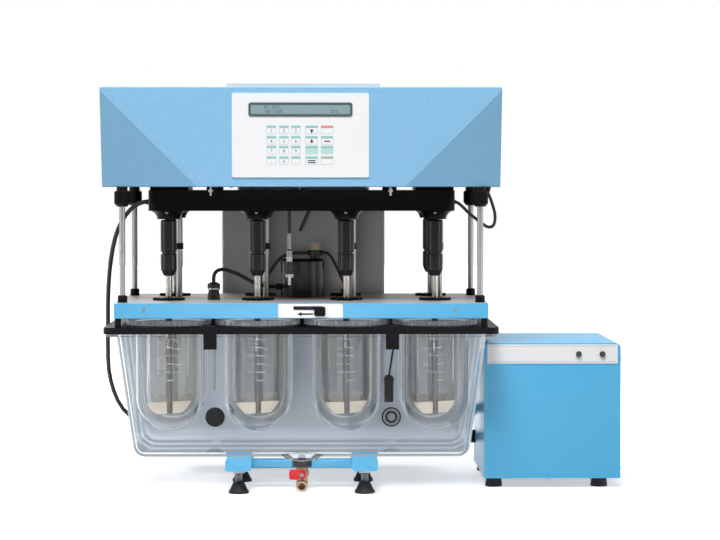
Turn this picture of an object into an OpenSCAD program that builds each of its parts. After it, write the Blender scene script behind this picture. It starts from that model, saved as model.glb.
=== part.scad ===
/* [Stations] */
// Spacing of the vessels along a row
station_pitch = 138; // [134:1:146]
// Distance between the front row and the rear row
row_gap = 150; // [142:1:160]

/* [Vessels] */
// Inside diameter of a glass vessel
vessel_d = 100; // [96:1:102]
// Glass wall of a vessel
glass_wall = 2.5; // [2:0.25:3]
// Vessel below the underside of its flange
vessel_depth = 167; // [160:1:171]
// Diameter of the vessel's flange
flange_d = 122; // [116:1:124]
// Thickness of the vessel's flange
flange_t = 4; // [3:0.5:5]
// Outside diameter of a toothed centring ring
ring_d = 132; // [130:1:133]
// Height of a centring ring
ring_h = 7.5; // [5:0.5:8]
// Teeth round a centring ring
ring_teeth = 48; // [24:1:60]

/* [Paddles] */
// Diameter of a paddle's shaft
shaft_d = 10; // [8:0.5:10.5]
// Circle that the paddle's blade is cut from
blade_circle_d = 83; // [80:1:86]
// Blade along its top edge
blade_top_w = 75; // [70:1:77]
// Blade along its bottom edge
blade_bottom_w = 42; // [36:1:48]
// Thickness of the blade
blade_t = 4; // [3:0.5:6]
// Blade above the inside bottom of its vessel
blade_gap = 25; // [23:0.5:27]
// Turn of the blades about their shafts at rest
blade_turn = 30; // [0:5:90]

/* [Spindles] */
// Diameter of a shaft chuck
chuck_d = 25; // [23:1:28]
// Clamping nut at the foot of the chuck
chuck_nut_l = 34; // [30:1:38]
// Sleeve of the chuck above its nut
chuck_sleeve_l = 50; // [44:1:54]
// Diameter of the spindle in its bearing
spindle_d = 12; // [11:0.5:14]
// Outside diameter of a spindle bearing
bearing_d = 28; // [24:1:30]
// Height of a spindle bearing
bearing_h = 10; // [8:1:11]
// Diameter of a spindle's pulley
pulley_d = 40; // [36:1:44]
// Diameter of the motor's pulley
motor_pulley_d = 30; // [26:1:34]
// Width of the drive belt
belt_w = 12; // [10:1:14]
// Thickness of the drive belt
belt_t = 2.5; // [2:0.5:3]

/* [Belt housing] */
// Height of the belt housing
housing_h = 32; // [30:1:36]
// Wall of the belt housing
housing_wall = 4; // [3:0.5:5]
// Slit between the belt housing and the head
housing_slit = 5; // [3:0.5:8]
// Spindle bosses below the belt housing
boss_drop = 13; // [10:1:15]

/* [Head] */
// Width of the head
head_l = 608; // [600:1:640]
// Depth of the head
head_w = 340; // [330:1:350]
// Height of the head
head_h = 151; // [146:1:170]
// Sheet of the head's cover
head_sheet = 2; // [1:0.5:3]
// Front face along its lower edge
face_bottom_l = 304; // [280:1:340]
// Set-back of the lower front corners
facet_depth = 36; // [30:1:44]
// Base plate of the head
head_base_t = 3; // [2:0.5:5]
// Width of the key panel
panel_l = 207; // [200:1:220]
// Height of the key panel
panel_h = 127; // [120:1:132]
// Thickness of the key panel
panel_t = 1.5; // [1:0.25:2]
// Width of the display's frame
display_l = 157; // [150:1:170]
// Height of the display's frame
display_h = 21; // [18:1:26]

/* [Lift] */
// Rise of the head with its lid tray
lift_travel = 200; // [160:5:210]
// Width of the column
column_l = 270; // [250:1:280]
// Depth of the column
column_w = 77; // [74:1:84]
// Sheet of the column
column_sheet = 2; // [1.5:0.5:3]
// Width of the sliding mast
mast_l = 220; // [200:1:230]
// Depth of the sliding mast
mast_w = 62; // [58:1:64]
// Diameter of the lead screw
screw_d = 12; // [10:1:16]

/* [Lid tray] */
// Height of the lid tray
tray_h = 23; // [21:1:28]
// Sheet of the lid tray
tray_sheet = 3; // [2:0.5:3.5]
// Gap between the vessel plate and the lid tray
tray_gap = 14; // [12:1:18]
// Diameter of a guide rod
rod_d = 9; // [8:0.5:12]
// Guide rods between the lid tray and the head
rod_l = 176; // [170:1:190]
// Diameter of a rod's knob
knob_d = 24; // [21:1:26]
// Diameter of a notched shaft cover
cover_d = 50; // [46:1:52]
// Diameter of a drop hole
drop_d = 14; // [10:1:15]
// Travel of the drop lever
drop_travel = 30; // [26:1:32]
// Thickness of the drop shutter
shutter_t = 3; // [2:0.5:3]

/* [Bath] */
// Height of the water tank below its rim
tank_h = 193; // [186:1:200]
// Wall of the water tank
tank_wall = 4; // [3:0.5:5]
// Draw-in of the tank's walls towards its floor
tank_draft = 23; // [15:1:25]
// Radius of the tank's corners
tank_r = 20; // [15:1:24]
// Overhang of the tank's rim
rim_lip = 17; // [14:1:20]
// Thickness of the tank's rim
rim_t = 10; // [9:1:13]
// Thickness of the vessel plate
plate_t = 7; // [5:1:9]
// Width of a rim clip
clip_l = 20; // [16:1:24]

/* [Base] */
// Height of the legs' underside
foot_h = 36; // [32:1:42]
// Diameter of a levelling foot
foot_d = 31; // [26:1:36]
// Height of a leg
leg_h = 19; // [17:1:24]
// Width of a leg
leg_w = 40; // [34:1:44]
// Distance of a leg from the middle
leg_x = 97; // [90:1:105]

/* [Heater] */
// Width of the heater's case
heater_l = 214; // [200:1:230]
// Depth of the heater's case
heater_w = 250; // [240:1:280]
// Height of the heater's case
heater_h = 212; // [206:1:216]
// Sheet of the heater's case
heater_sheet = 2; // [1:0.5:3]
// Height of the heater's feet
heater_foot_h = 15; // [12:1:18]
// Diameter of a hose
hose_d = 16; // [12:1:18]

/* [Hidden] */
$fn = 48;

// Clearances
fit_gap = 0.05;
free_gap = 0.3;
shaft_room = 0.6;
cut_over = 1;

// Stations: the front row from left to right, then the rear row
columns = [-1.5, -0.5, 0.5, 1.5];
stations = [for (row = [-0.5, 0.5]) for (c = columns) [c * station_pitch, row * row_gap]];
half_row = 1.5 * station_pitch;
half_gap = row_gap / 2;

// Heights from the bench up
leg_top = foot_h + leg_h;
rim_z = leg_top + tank_h;
rim_top = rim_z + rim_t;
plate_top = rim_top;
tray_bottom = plate_top + tray_gap;
tray_top = tray_bottom + tray_h;
tray_under = tray_top - tray_sheet;
head_z = tray_top + rod_l;
head_top = head_z + head_h;
housing_top = head_z - housing_slit;
housing_z = housing_top - housing_h;
boss_z = housing_z - boss_drop;
chuck_gap = 1;
chuck_groove = 3;
chuck_top = boss_z - chuck_gap;
sleeve_z = chuck_top - chuck_sleeve_l;
nut_top = sleeve_z - chuck_groove;
chuck_bottom = nut_top - chuck_nut_l;
shaft_top = chuck_top - 8;

// Lid tray about the rows
tray_side_margin = 10.5;
tray_front_margin = 31;
tray_rear_margin = 8;
tray_half = half_row + ring_d / 2 + tray_side_margin;
tray_front = -half_gap - ring_d / 2 - tray_front_margin;
tray_rear = half_gap + ring_d / 2 + tray_rear_margin;
fascia_t = 3;
fascia_front = tray_front - fascia_t;
rod_inset = 10.5;
rod_x = tray_half - rod_inset;
rod_front = tray_front + 28;
rod_rear = half_gap + 12;
post_d = 10;
post_x = tray_half - post_d / 2;
post_front = tray_front + 8;
post_rear = tray_rear - 8;
stay_d = 10;
stay_shift = 11;
stay_y = 8;
cover_t = 4;

// Bath about the rows
bath_front_margin = 17;
bath_rear_margin = 10;
tank_half = tray_half;
tank_front = -half_gap - ring_d / 2 - bath_front_margin;
tank_rear = half_gap + ring_d / 2 + bath_rear_margin;
tank_mid = (tank_front + tank_rear) / 2;
tank_half_w = (tank_rear - tank_front) / 2;
wall_drop = tank_h - tank_r - 1;
wall_run = tank_draft + tank_r;
draft_angle = atan(wall_run / wall_drop) - asin(tank_r / norm([wall_run, wall_drop]));
rim_half = tank_half + rim_lip;
rim_half_w = tank_half_w + rim_lip;
rim_band = 33.5;
ledge = 5;
lip_inset = 3;
rim_front = tank_mid - rim_half_w;

// Head
head_front = -175;
head_rear = head_front + head_w;
facet_a = (head_l - face_bottom_l) / 2;
facet_reach = 1 / sqrt(1 / pow(facet_a, 2) + 1 / pow(facet_depth, 2) + 1 / pow(head_h, 2));
facet_grow = (facet_reach + head_sheet) / facet_reach;
panel_x = -1;
panel_drop = 9.6;
panel_z = head_top - panel_drop - panel_h;
display_drop = 14;
display_z = head_top - panel_drop - display_drop - display_h;
display_t = panel_t + 1;

// Belt drive
bearing_z = boss_z + 3;
bearing_top = bearing_z + bearing_h;
pulley_z = housing_z + housing_wall + 2;
pulley_h = belt_w + 2;
belt_half_l = half_row + pulley_d / 2 + free_gap;
belt_half_w = half_gap + pulley_d / 2 + free_gap;
housing_end_room = 3.2;
housing_side_room = 1.2;
housing_half_l = belt_half_l + belt_t + housing_end_room + housing_wall;
housing_half_w = belt_half_w + belt_t + housing_side_room + housing_wall;
motor_y = half_gap + pulley_d / 2 - motor_pulley_d / 2;
motor_shaft_d = 10;
motor_l = 60;
motor_h = 86;

// Lift
column_front = 175;
column_y = column_front + column_w / 2;
column_top = head_z - 9;
mast_hold = 112;
mast_wall = 3;
mast_z = column_top - lift_travel - mast_hold;
mast_top = head_top - 22;
screw_nut_h = 20;
lift_motor_h = 46;
screw_journal = 12;
screw_z = leg_top + lift_motor_h - screw_journal;
screw_top = mast_z + lift_travel + screw_nut_h + 10;
rear_cover_half = 127;
rear_cover_rear = column_front + column_w + 3;
rear_cover_top = head_top + 20;

// Drop lever and its slot
lever_x = 28;
lever_stem_d = 4;
lever_z = tray_under - 4.5;
shutter_z = lever_z - shutter_t / 2;
shutter_half_w = half_gap + 35;
drop_offset = 34;
rail_t = 3;
slot_h = 6;
lever_plate_t = 1;
lever_plate_l = 98;
lever_plate_x = 14;
knob_gap = 1;
lever_knob_l = 10;
lever_front = fascia_front - lever_plate_t - knob_gap - lever_knob_l;

// Vessels and paddles
vessel_r = vessel_d / 2 + glass_wall;
vessel_z = plate_top - vessel_depth;
blade_r = blade_circle_d / 2;
blade_low = sqrt(pow(blade_r, 2) - pow(blade_bottom_w / 2, 2));
blade_high = sqrt(pow(blade_r, 2) - pow(blade_top_w / 2, 2));
blade_z = vessel_z + glass_wall + blade_gap;

// Base
leg_front = -150;
base_rear = rear_cover_rear;
leg_r = 5;
cross_half = 200;
foot_rows = [-125, 20, 215];

// Sensors on the tray
sensor_x = -station_pitch;
sensor_y = -57;
sheath_d = 4;
pod_d = 70;
pod_h = 61;
pod_y = 39;
union_x = 20;
union_z = tray_top + pod_h + 14;
tube_ends = [[-66, 58], [68, 58]];

// Tank ports, drain and heater
port_x = 145;
port_disc_r = 16;
port_z = leg_top + tank_r + port_disc_r + 0.7;
port_r = 9;
port_reach = 24.7;
drain_y = -93;
sump_h = 7;
sump_r = 37;
drain_z = leg_top - sump_h;
valve_nut_h = 11;
spout_z = 9;
spout_d = 16;
elbow_d = 18;
handle_z = spout_z + spout_d / 2 + 10;
handle_l = 19.5;
handle_y = drain_y - 17;
handle_t = 8;
heater_gap = 1;
heater_x = tank_half + heater_gap;
heater_end = heater_x + heater_l;
heater_front = -70;
heater_top = heater_foot_h + heater_h;
heater_r = 8;
strip_h = 30;
fitting_y = 155;
fitting_high = 104;
fitting_low = 57;
fitting_l = 20;

// The part stands with the middle of its box over the origin
tester_x = -(heater_end - head_l / 2) / 2;
tester_y = -(rear_cover_rear + lever_front) / 2;

// Routes of the free leads and hoses
lift_route = [
  [-237, 20, 447], [-252, 20, 447], [-267, 21, 441], [-282, 24, 426], [-295, 30, 403], [-304, 37, 373],
  [-310, 44, 335], [-313, 50, 295], [-314, 56, 255], [-315, 64, 215], [-315, 78, 175], [-309, 99, 138],
  [-296, 124, 106], [-272, 152, 82], [-240, 178, 70], [-205, 196, 66], [-172, 204, 66], [-150, 206, 66],
  [-135, 206, 66]
];
loop_route = [
  [237, 0, 447], [244, 0, 447], [252, 0, 442], [261, 0, 433], [270, 0, 425], [279, 0, 418], [288, 0, 411],
  [296, 0, 407], [303, 0, 409], [306, 0, 417], [306, 0, 428], [303, 0, 440], [299, 0, 452], [295, 0, 462],
  [295, 0, 471]
];
sensor_route = [
  [-138, -57, 322], [-138, -57, 330], [-135, -55, 338], [-126, -50, 342], [-113, -42, 339], [-99, -32, 333],
  [-86, -20, 325], [-76, -5, 319], [-69, 10, 315], [-64, 24, 312], [-58, 34, 311], [-50, 39, 311],
  [-43, 39, 311]
];
left_tube_route = [
  [8, 39, 365], [0, 39, 365], [-12, 39, 365], [-25, 40, 362], [-36, 42, 356], [-45, 45, 346],
  [-53, 49, 334], [-60, 53, 323], [-66, 58, 312], [-66, 58, 307]
];
right_tube_route = [
  [32, 39, 365], [38, 39, 365], [45, 40, 360], [51, 43, 350], [57, 47, 338], [62, 51, 327], [66, 55, 318],
  [68, 58, 312], [68, 58, 307]
];
supply_route = [
  [175, 155, 88], [190, 155, 88], [205, 155, 90], [220, 155, 95], [235, 155, 100], [250, 155, 104],
  [264, 155, 104]
];
return_route = [
  [-115, 155, 88], [-100, 155, 88], [-80, 155, 86], [-55, 155, 80], [-25, 155, 75], [10, 155, 72],
  [50, 155, 71], [90, 155, 71], [125, 155, 70], [160, 155, 66], [195, 155, 61], [225, 155, 58],
  [250, 155, 57], [264, 155, 57]
];

function unit(v) = v / norm(v);

function spline(a, b, c, d, t) =
  0.5 * (2 * b + (c - a) * t + (2 * a - 5 * b + 4 * c - d) * t * t + (3 * b - a - 3 * c + d) * t * t * t);

function smooth(points, steps) = concat(
  [for (i = [0:len(points) - 2]) for (k = [0:steps - 1])
    spline(points[max(i - 1, 0)], points[i], points[i + 1], points[min(i + 2, len(points) - 1)], k / steps)],
  [points[len(points) - 1]]
);

// Along the path, and square to what it meets at both ends
function heading(points, path, i) =
  i == 0 ? unit(points[1] - points[0]) :
  i == len(path) - 1 ? unit(points[len(points) - 1] - points[len(points) - 2]) :
  unit(path[i + 1] - path[i - 1]);

// A tube swept along a smooth path; across is a direction that the path never takes
module lead(points, d, across, steps = 2, sides = 8) {
  path = smooth(points, steps);
  rings = len(path);
  skin = [
    for (i = [0:rings - 1])
      let (t = heading(points, path, i), u = unit(cross(t, across)), v = cross(t, u))
        for (k = [0:sides - 1])
          path[i] + d / 2 * (cos(360 * k / sides) * u + sin(360 * k / sides) * v)
  ];
  walls = [
    for (i = [0:rings - 2]) for (k = [0:sides - 1])
      let (a = i * sides + k, b = i * sides + (k + 1) % sides)
        each [[a, a + sides, b], [b, a + sides, b + sides]]
  ];
  caps = [
    for (k = [1:sides - 2])
      each [[0, k, k + 1], [(rings - 1) * sides, (rings - 1) * sides + k + 1, (rings - 1) * sides + k]]
  ];
  polyhedron(points = skin, faces = concat(walls, caps), convexity = 6);
}

module at_tester() {
  translate([tester_x, tester_y, 0]) children();
}

module at_stations() {
  for (s = stations) translate([s[0], s[1], 0]) children();
}

module rounded_rect(l, w, r) {
  square([l - 2 * r, w], center = true);
  square([l, w - 2 * r], center = true);
  for (x = [-1, 1]) for (y = [-1, 1])
    translate([x * (l / 2 - r), y * (w / 2 - r)]) circle(r);
}

module slab(l, w, h, r) {
  linear_extrude(h) rounded_rect(l, w, r);
}

// Disc with square teeth round its edge
module toothed_disc(d, teeth, depth) {
  step = 360 / teeth;
  polygon([
    for (i = [0:teeth - 1]) for (k = [0:3])
      let (r = d / 2 - (k < 2 ? 0 : depth), a = (i + [0, 0.5, 0.6, 0.9][k]) * step)
        [r * cos(a), r * sin(a)]
  ]);
}

module rod_between(a, b, d) {
  run = b - a;
  translate(a)
    rotate([0, acos(run[2] / norm(run)), atan2(run[1], run[0])])
      cylinder(d = d, h = norm(run));
}

// Base frame and feet

module leg(x) {
  translate([x, leg_front, foot_h + leg_h / 2])
    rotate([-90, 0, 0]) slab(leg_w, leg_h, base_rear - leg_front, leg_r);
}

module base_frame() {
  rear_bar_w = base_rear - column_front + 5;
  front_bar_w = 20;
  front_bar_h = 14;
  front_bar_y = -62;
  color("deepskyblue") at_tester() {
    leg(-leg_x);
    leg(leg_x);
    translate([-cross_half, base_rear - rear_bar_w / 2, foot_h + leg_h / 2])
      rotate([90, 0, 90]) slab(rear_bar_w, leg_h, 2 * cross_half, leg_r);
    translate([-leg_x, front_bar_y, foot_h + leg_h / 2 - 7])
      rotate([90, 0, 90]) slab(front_bar_w, front_bar_h, 2 * leg_x, 3);
  }
}

module levelling_foot() {
  r = foot_d / 2;
  stud_r = 5;
  lock_r = 9;
  lock_h = 5;
  cone_top = foot_h / 2;
  rotate_extrude() polygon([
    [0, 0], [r, 0], [r, 4], [r - 2, 6], [stud_r + 3, cone_top], [stud_r, cone_top],
    [stud_r, foot_h - lock_h], [lock_r, foot_h - lock_h], [lock_r, foot_h], [0, foot_h]
  ]);
}

module heater_foot() {
  r = 13.5;
  rotate_extrude() polygon([
    [0, 0], [r - 1, 0], [r, 1], [r - 1.5, heater_foot_h], [0, heater_foot_h]
  ]);
}

module rubber_feet() {
  foot_in = 17;
  foot_deep = 25;
  color("black") at_tester() {
    for (x = [-leg_x, leg_x]) for (y = foot_rows)
      translate([x, y, 0]) levelling_foot();
    for (x = [heater_x + foot_in, heater_end - foot_in - 14])
      for (y = [heater_front + foot_deep, heater_front + heater_w - foot_deep])
        translate([x, y, 0]) heater_foot();
  }
}

// Column and lift

// Slide pads inside the column's mouth, which the mast runs on
module slide_pads() {
  pad_h = 55;
  pad_l = 30;
  pad_x = mast_l / 2 - 30;
  root = column_sheet / 2;
  deep = (column_w - mast_w) / 2 - root - free_gap;
  wide = (column_l - mast_l) / 2 - root - free_gap;
  translate([0, column_y, column_top - pad_h - 5]) {
    for (x = [-pad_x, pad_x]) for (turn = [0, 180]) rotate([0, 0, turn])
      translate([x - pad_l / 2, column_w / 2 - root - deep, 0]) cube([pad_l, deep, pad_h]);
    for (turn = [0, 180]) rotate([0, 0, turn])
      translate([column_l / 2 - root - wide, -pad_l / 2, 0]) cube([wide, pad_l, pad_h]);
  }
}

module column() {
  color("lightgray") at_tester() {
    translate([0, column_y, leg_top]) difference() {
      slab(column_l, column_w, column_top - leg_top, 4);
      translate([0, 0, -cut_over])
        slab(column_l - 2 * column_sheet, column_w - 2 * column_sheet, column_top, 2);
    }
    slide_pads();
  }
}

module lift_motor() {
  motor_side = 56;
  journal_d = screw_d - 4;
  color("dimgray") at_tester() translate([0, column_y, leg_top])
    difference() {
      slab(motor_side, motor_side, lift_motor_h, 5);
      translate([0, 0, lift_motor_h - screw_journal - free_gap])
        cylinder(d = journal_d + 2 * fit_gap, h = screw_journal + cut_over);
    }
}

module lead_screw() {
  r = screw_d / 2;
  shoulder = leg_top + lift_motor_h + free_gap;
  color("silver") at_tester() translate([0, column_y, 0])
    rotate_extrude() polygon([
      [0, screw_z], [r - 2, screw_z], [r - 2, shoulder], [r, shoulder], [r, screw_top - 1],
      [r - 1, screw_top], [0, screw_top]
    ]);
}

module lift_mast() {
  spacer_half = 80;
  color("silver") at_tester() {
    difference() {
      translate([0, column_y, mast_z]) slab(mast_l, mast_w, mast_top - mast_z, 4);
      translate([0, column_y, mast_z + screw_nut_h])
        slab(mast_l - 2 * mast_wall, mast_w - 2 * mast_wall, mast_top, 2);
      translate([0, column_y, mast_z - cut_over])
        cylinder(d = screw_d + 2 * fit_gap, h = screw_nut_h + 2 * cut_over);
    }
    translate([-spacer_half, head_rear, head_z + 9])
      cube([2 * spacer_half, column_y - mast_w / 2 + 1 - head_rear, mast_top - head_z - 9]);
  }
}

module rear_cover() {
  sheet = 2;
  deep = rear_cover_rear - head_rear;
  window_half = 100;
  color("lightgray") at_tester() difference() {
    translate([0, head_rear + deep / 2, head_z]) slab(2 * rear_cover_half, deep, rear_cover_top - head_z, 4);
    translate([0, head_rear + deep / 2, head_z - sheet])
      slab(2 * rear_cover_half - 2 * sheet, deep - 2 * sheet, rear_cover_top - head_z, 2);
    translate([-window_half, head_rear - cut_over, head_z - cut_over])
      cube([2 * window_half, sheet + 2 * cut_over, head_h - 6]);
  }
}

// Bath

// Smooth drafted tub; shrink takes its walls in
module tub(shrink, over) {
  r = tank_r - shrink;
  hull() {
    for (x = [-1, 1]) for (y = [-1, 1]) {
      translate([x * (tank_half - tank_r), tank_mid + y * (tank_half_w - tank_r), rim_z - 1])
        cylinder(r = r, h = 1 + over, $fn = 32);
      translate([x * (tank_half - tank_draft - tank_r), tank_mid + y * (tank_half_w - tank_draft - tank_r),
                 leg_top + tank_r])
        sphere(r = r, $fn = 32);
    }
  }
}

// Frame on the rear wall: its origin on the wall's middle, its second axis out of the wall
module at_port(x) {
  wall_y = tank_rear - tan(draft_angle) * (rim_z - 1 - port_z);
  translate([x, wall_y - tank_wall / 2 / cos(draft_angle), port_z]) rotate([-draft_angle, 0, 0]) children();
}

module water_tank() {
  drain_r = 6;
  color("gainsboro", 0.4) at_tester() difference() {
    union() {
      tub(0, 0);
      translate([0, tank_mid, rim_z - tank_wall])
        slab(2 * (rim_half - lip_inset), 2 * (rim_half_w - lip_inset), tank_wall, 12);
      translate([0, drain_y, drain_z]) cylinder(r1 = sump_r - 15, r2 = sump_r, h = sump_h + tank_wall / 2);
    }
    tub(tank_wall, cut_over);
    translate([0, drain_y, drain_z + tank_wall])
      cylinder(r1 = sump_r - 15 - tank_wall, r2 = sump_r - tank_wall, h = sump_h + tank_wall);
    translate([0, drain_y, drain_z - cut_over]) cylinder(r = drain_r, h = sump_h);
    for (x = [-port_x, port_x])
      at_port(x) rotate([-90, 0, 0]) cylinder(r = port_r + fit_gap, h = 4 * tank_wall, center = true);
  }
}

module tank_rim() {
  color("black") at_tester() translate([0, tank_mid, rim_z])
    difference() {
      slab(2 * rim_half, 2 * rim_half_w, rim_t, 12);
      translate([0, 0, rim_t - plate_t])
        slab(2 * (rim_half - rim_band), 2 * (rim_half_w - rim_band), plate_t + cut_over, 4);
      translate([0, 0, -cut_over])
        slab(2 * (rim_half - rim_band - ledge), 2 * (rim_half_w - rim_band - ledge), rim_t, 4);
    }
}

module vessel_rings() {
  color("black") at_tester() at_stations() translate([0, 0, plate_top]) linear_extrude(ring_h) difference() {
    toothed_disc(ring_d, ring_teeth, 2);
    circle(d = flange_d + 2 * free_gap);
  }
}

module vessel_plate() {
  color("black") at_tester() difference() {
    translate([0, tank_mid, rim_top - plate_t])
      slab(2 * (rim_half - rim_band - fit_gap), 2 * (rim_half_w - rim_band - fit_gap), plate_t, 4);
    at_stations() translate([0, 0, rim_top - plate_t - cut_over])
      cylinder(r = vessel_r + 1, h = plate_t + 2 * cut_over);
    translate([sensor_x, sensor_y, rim_top - plate_t - cut_over])
      cylinder(d = sheath_d + 4, h = plate_t + 2 * cut_over);
  }
}

module vessel() {
  mid = vessel_z + vessel_r;
  inner = vessel_d / 2;
  lip_z = plate_top + flange_t;
  rotate_extrude() difference() {
    union() {
      translate([0, mid]) intersection() {
        circle(vessel_r);
        translate([0, -vessel_r]) square([vessel_r, vessel_r]);
      }
      translate([0, mid]) square([vessel_r, lip_z - mid]);
      translate([0, plate_top]) square([flange_d / 2, flange_t]);
    }
    translate([0, mid]) circle(inner);
    translate([0, mid]) square([inner, lip_z - mid + cut_over]);
    translate([-vessel_r, vessel_z - cut_over]) square([vessel_r, vessel_depth + flange_t + 2 * cut_over]);
  }
}

// Vessels of one row, the front row at -1 and the rear row at 1
module vessel_row(row) {
  color("lightblue", 0.4) at_tester()
    for (c = columns) translate([c * station_pitch, row * half_gap, 0]) vessel();
}

module rim_clips() {
  leaf = 4;
  drop = 23;
  shelf = 8;
  color("black") at_tester() for (x = [-1, 1])
    translate([x * station_pitch - clip_l / 2, rim_front, 0]) rotate([90, 0, 90]) linear_extrude(clip_l)
      polygon([
        [shelf, rim_top], [shelf, rim_top + leaf - 1], [-leaf + 1, rim_top + leaf - 1],
        [-leaf, rim_top + leaf - 2], [-leaf, rim_z - drop], [0, rim_z - drop], [0, rim_top]
      ]);
}

module level_sensor() {
  wire_d = 3;
  bulb_r = 8;
  bulb_l = 42;
  bulb = [134, -128, rim_z - 107];
  color("black") at_tester() {
    rod_between([144, rim_front + rim_band - 4, rim_z - wire_d / 4], bulb + [0, 0, bulb_l - 3], wire_d);
    translate(bulb) rotate_extrude() {
      square([bulb_r - 1, bulb_l - bulb_r]);
      translate([0, bulb_l - bulb_r]) intersection() {
        circle(bulb_r);
        translate([0, -bulb_r]) square([bulb_r, 2 * bulb_r]);
      }
    }
  }
}

module nozzle(l) {
  r = hose_d / 2 - 2;
  rotate_extrude() polygon([[0, 0], [r + 5, 0], [r + 5, 6], [r, 7], [r, l - 4], [r - 1, l], [0, l]]);
}

module hose_fittings() {
  disc_t = 4;
  nut_t = 6;
  color("black") at_tester() {
    for (x = [-port_x, port_x]) at_port(x) {
      translate([0, -tank_wall / 2 - fit_gap - disc_t, 0]) rotate([-90, 0, 0]) {
        cylinder(r = port_disc_r, h = disc_t);
        cylinder(r = port_r, h = disc_t + fit_gap + tank_wall + port_reach);
      }
      translate([0, tank_wall / 2 + fit_gap, 0]) rotate([-90, 0, 0]) cylinder(r = 14, h = nut_t, $fn = 6);
      translate([0, port_reach + tank_wall / 2, 0]) sphere(r = port_r);
      translate([0, port_reach + tank_wall / 2, 0]) rotate([0, 90, 0]) cylinder(r = hose_d / 2 - 2, h = 30);
    }
    for (z = [fitting_high, fitting_low])
      translate([heater_x, fitting_y, z]) rotate([0, -90, 0]) nozzle(fitting_l);
  }
}

module water_hoses() {
  color("dimgray") at_tester() {
    lead(supply_route, hose_d, [0, 1, 0], 1, 10);
    lead(return_route, hose_d, [0, 1, 0], 1, 10);
  }
}

// Drain

module drain_valve() {
  body_r = 11;
  bore_r = 5.5;
  stem_r = 3;
  elbow_l = 12;
  spout_l = 26;
  color("goldenrod") at_tester() translate([0, drain_y, 0]) difference() {
    union() {
      translate([0, 0, drain_z - valve_nut_h]) cylinder(r = 15, h = valve_nut_h, $fn = 6);
      translate([0, 0, spout_z]) cylinder(d = elbow_d, h = drain_z - valve_nut_h - spout_z);
      translate([0, 0, handle_z]) sphere(r = body_r);
      translate([0, 0, spout_z]) sphere(d = elbow_d);
      translate([0, 0, spout_z]) rotate([90, 0, 0]) cylinder(d = elbow_d, h = elbow_l);
      translate([0, 0, spout_z]) rotate([90, 0, 0]) cylinder(d = spout_d, h = spout_l);
      translate([0, 0, handle_z]) rotate([90, 0, 0])
        cylinder(r = stem_r, h = drain_y - handle_y + handle_t - 1);
    }
    translate([0, 0, spout_z]) rotate([90, 0, 0]) cylinder(r = bore_r, h = spout_l + cut_over);
    translate([0, 0, spout_z]) cylinder(r = bore_r, h = drain_z);
  }
}

module drain_handle() {
  stem_r = 3;
  hub_r = 7;
  grip_h = 15;
  color("red") at_tester() translate([0, handle_y, handle_z]) rotate([90, 0, 0]) difference() {
    linear_extrude(handle_t) {
      circle(hub_r);
      translate([-handle_l + 3, -3]) square([handle_l - 3, 6]);
      translate([-handle_l / 2 - 2, 0]) rounded_rect(handle_l - 4, grip_h, 3);
    }
    translate([0, 0, -cut_over]) cylinder(r = stem_r + fit_gap, h = handle_t);
  }
}

// Heater

module heater_profile(l, h, r) {
  difference() {
    translate([0, h / 2 - r]) rounded_rect(l, h + 2 * r, r);
    translate([-l, -2 * h]) square([2 * l, 2 * h]);
  }
}

module heater_case() {
  inner_l = heater_l - 2 * heater_sheet;
  color("deepskyblue") at_tester() translate([heater_x + heater_l / 2, heater_front, heater_foot_h]) {
    difference() {
      translate([0, heater_w, 0]) rotate([90, 0, 0])
        linear_extrude(heater_w) heater_profile(heater_l, heater_h, heater_r);
      translate([0, heater_w - heater_sheet, -cut_over]) rotate([90, 0, 0])
        linear_extrude(heater_w - 2 * heater_sheet)
          heater_profile(inner_l, heater_h - heater_sheet + cut_over, heater_r - heater_sheet);
    }
    translate([-inner_l / 2 + fit_gap, heater_sheet + fit_gap, 0])
      cube([inner_l - 2 * fit_gap, heater_w - 2 * heater_sheet - 2 * fit_gap, heater_sheet]);
  }
}

module heater_panel() {
  margin = 5;
  panel_depth = 1;
  color("white") at_tester()
    translate([heater_x + margin, heater_front - panel_depth, heater_top - heater_r / 4 - strip_h])
      cube([heater_l - 2 * margin, panel_depth, strip_h]);
}

module heater_lamps() {
  lamp_r = 4.5;
  lamp_l = 3;
  lens_l = 1;
  color("black") at_tester() for (x = [heater_end - 66, heater_end - 29])
    translate([x, heater_front - 1, heater_top - heater_r / 4 - strip_h / 2]) rotate([90, 0, 0]) {
      cylinder(r = lamp_r, h = lamp_l);
      translate([0, 0, lamp_l]) cylinder(r1 = lamp_r - 1, r2 = lamp_r - 2, h = lens_l);
    }
}

// Head

// Corner that the slanting facet takes off the head's lower front edge
module facet_corner(grow) {
  a = facet_a * grow;
  b = facet_depth * grow;
  c = head_h * grow;
  e = cut_over;
  polyhedron(
    points = [[e, -e, -e], [-a, -e, -e], [e, b, -e], [e, -e, c]],
    faces = [[0, 2, 1], [0, 1, 3], [0, 3, 2], [1, 2, 3]]
  );
}

module head_form(inset) {
  l = head_l - 2 * inset;
  difference() {
    translate([-l / 2, head_front + inset, head_z - (inset > 0 ? cut_over : 0)])
      cube([l, head_w - 2 * inset, head_h - inset + (inset > 0 ? cut_over : 0)]);
    for (x = [0, 1]) mirror([x, 0, 0])
      translate([head_l / 2, head_front, head_z]) facet_corner(inset > 0 ? facet_grow : 1);
  }
}

module head_cover() {
  color("skyblue") at_tester() difference() {
    head_form(0);
    head_form(head_sheet);
  }
}

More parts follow.
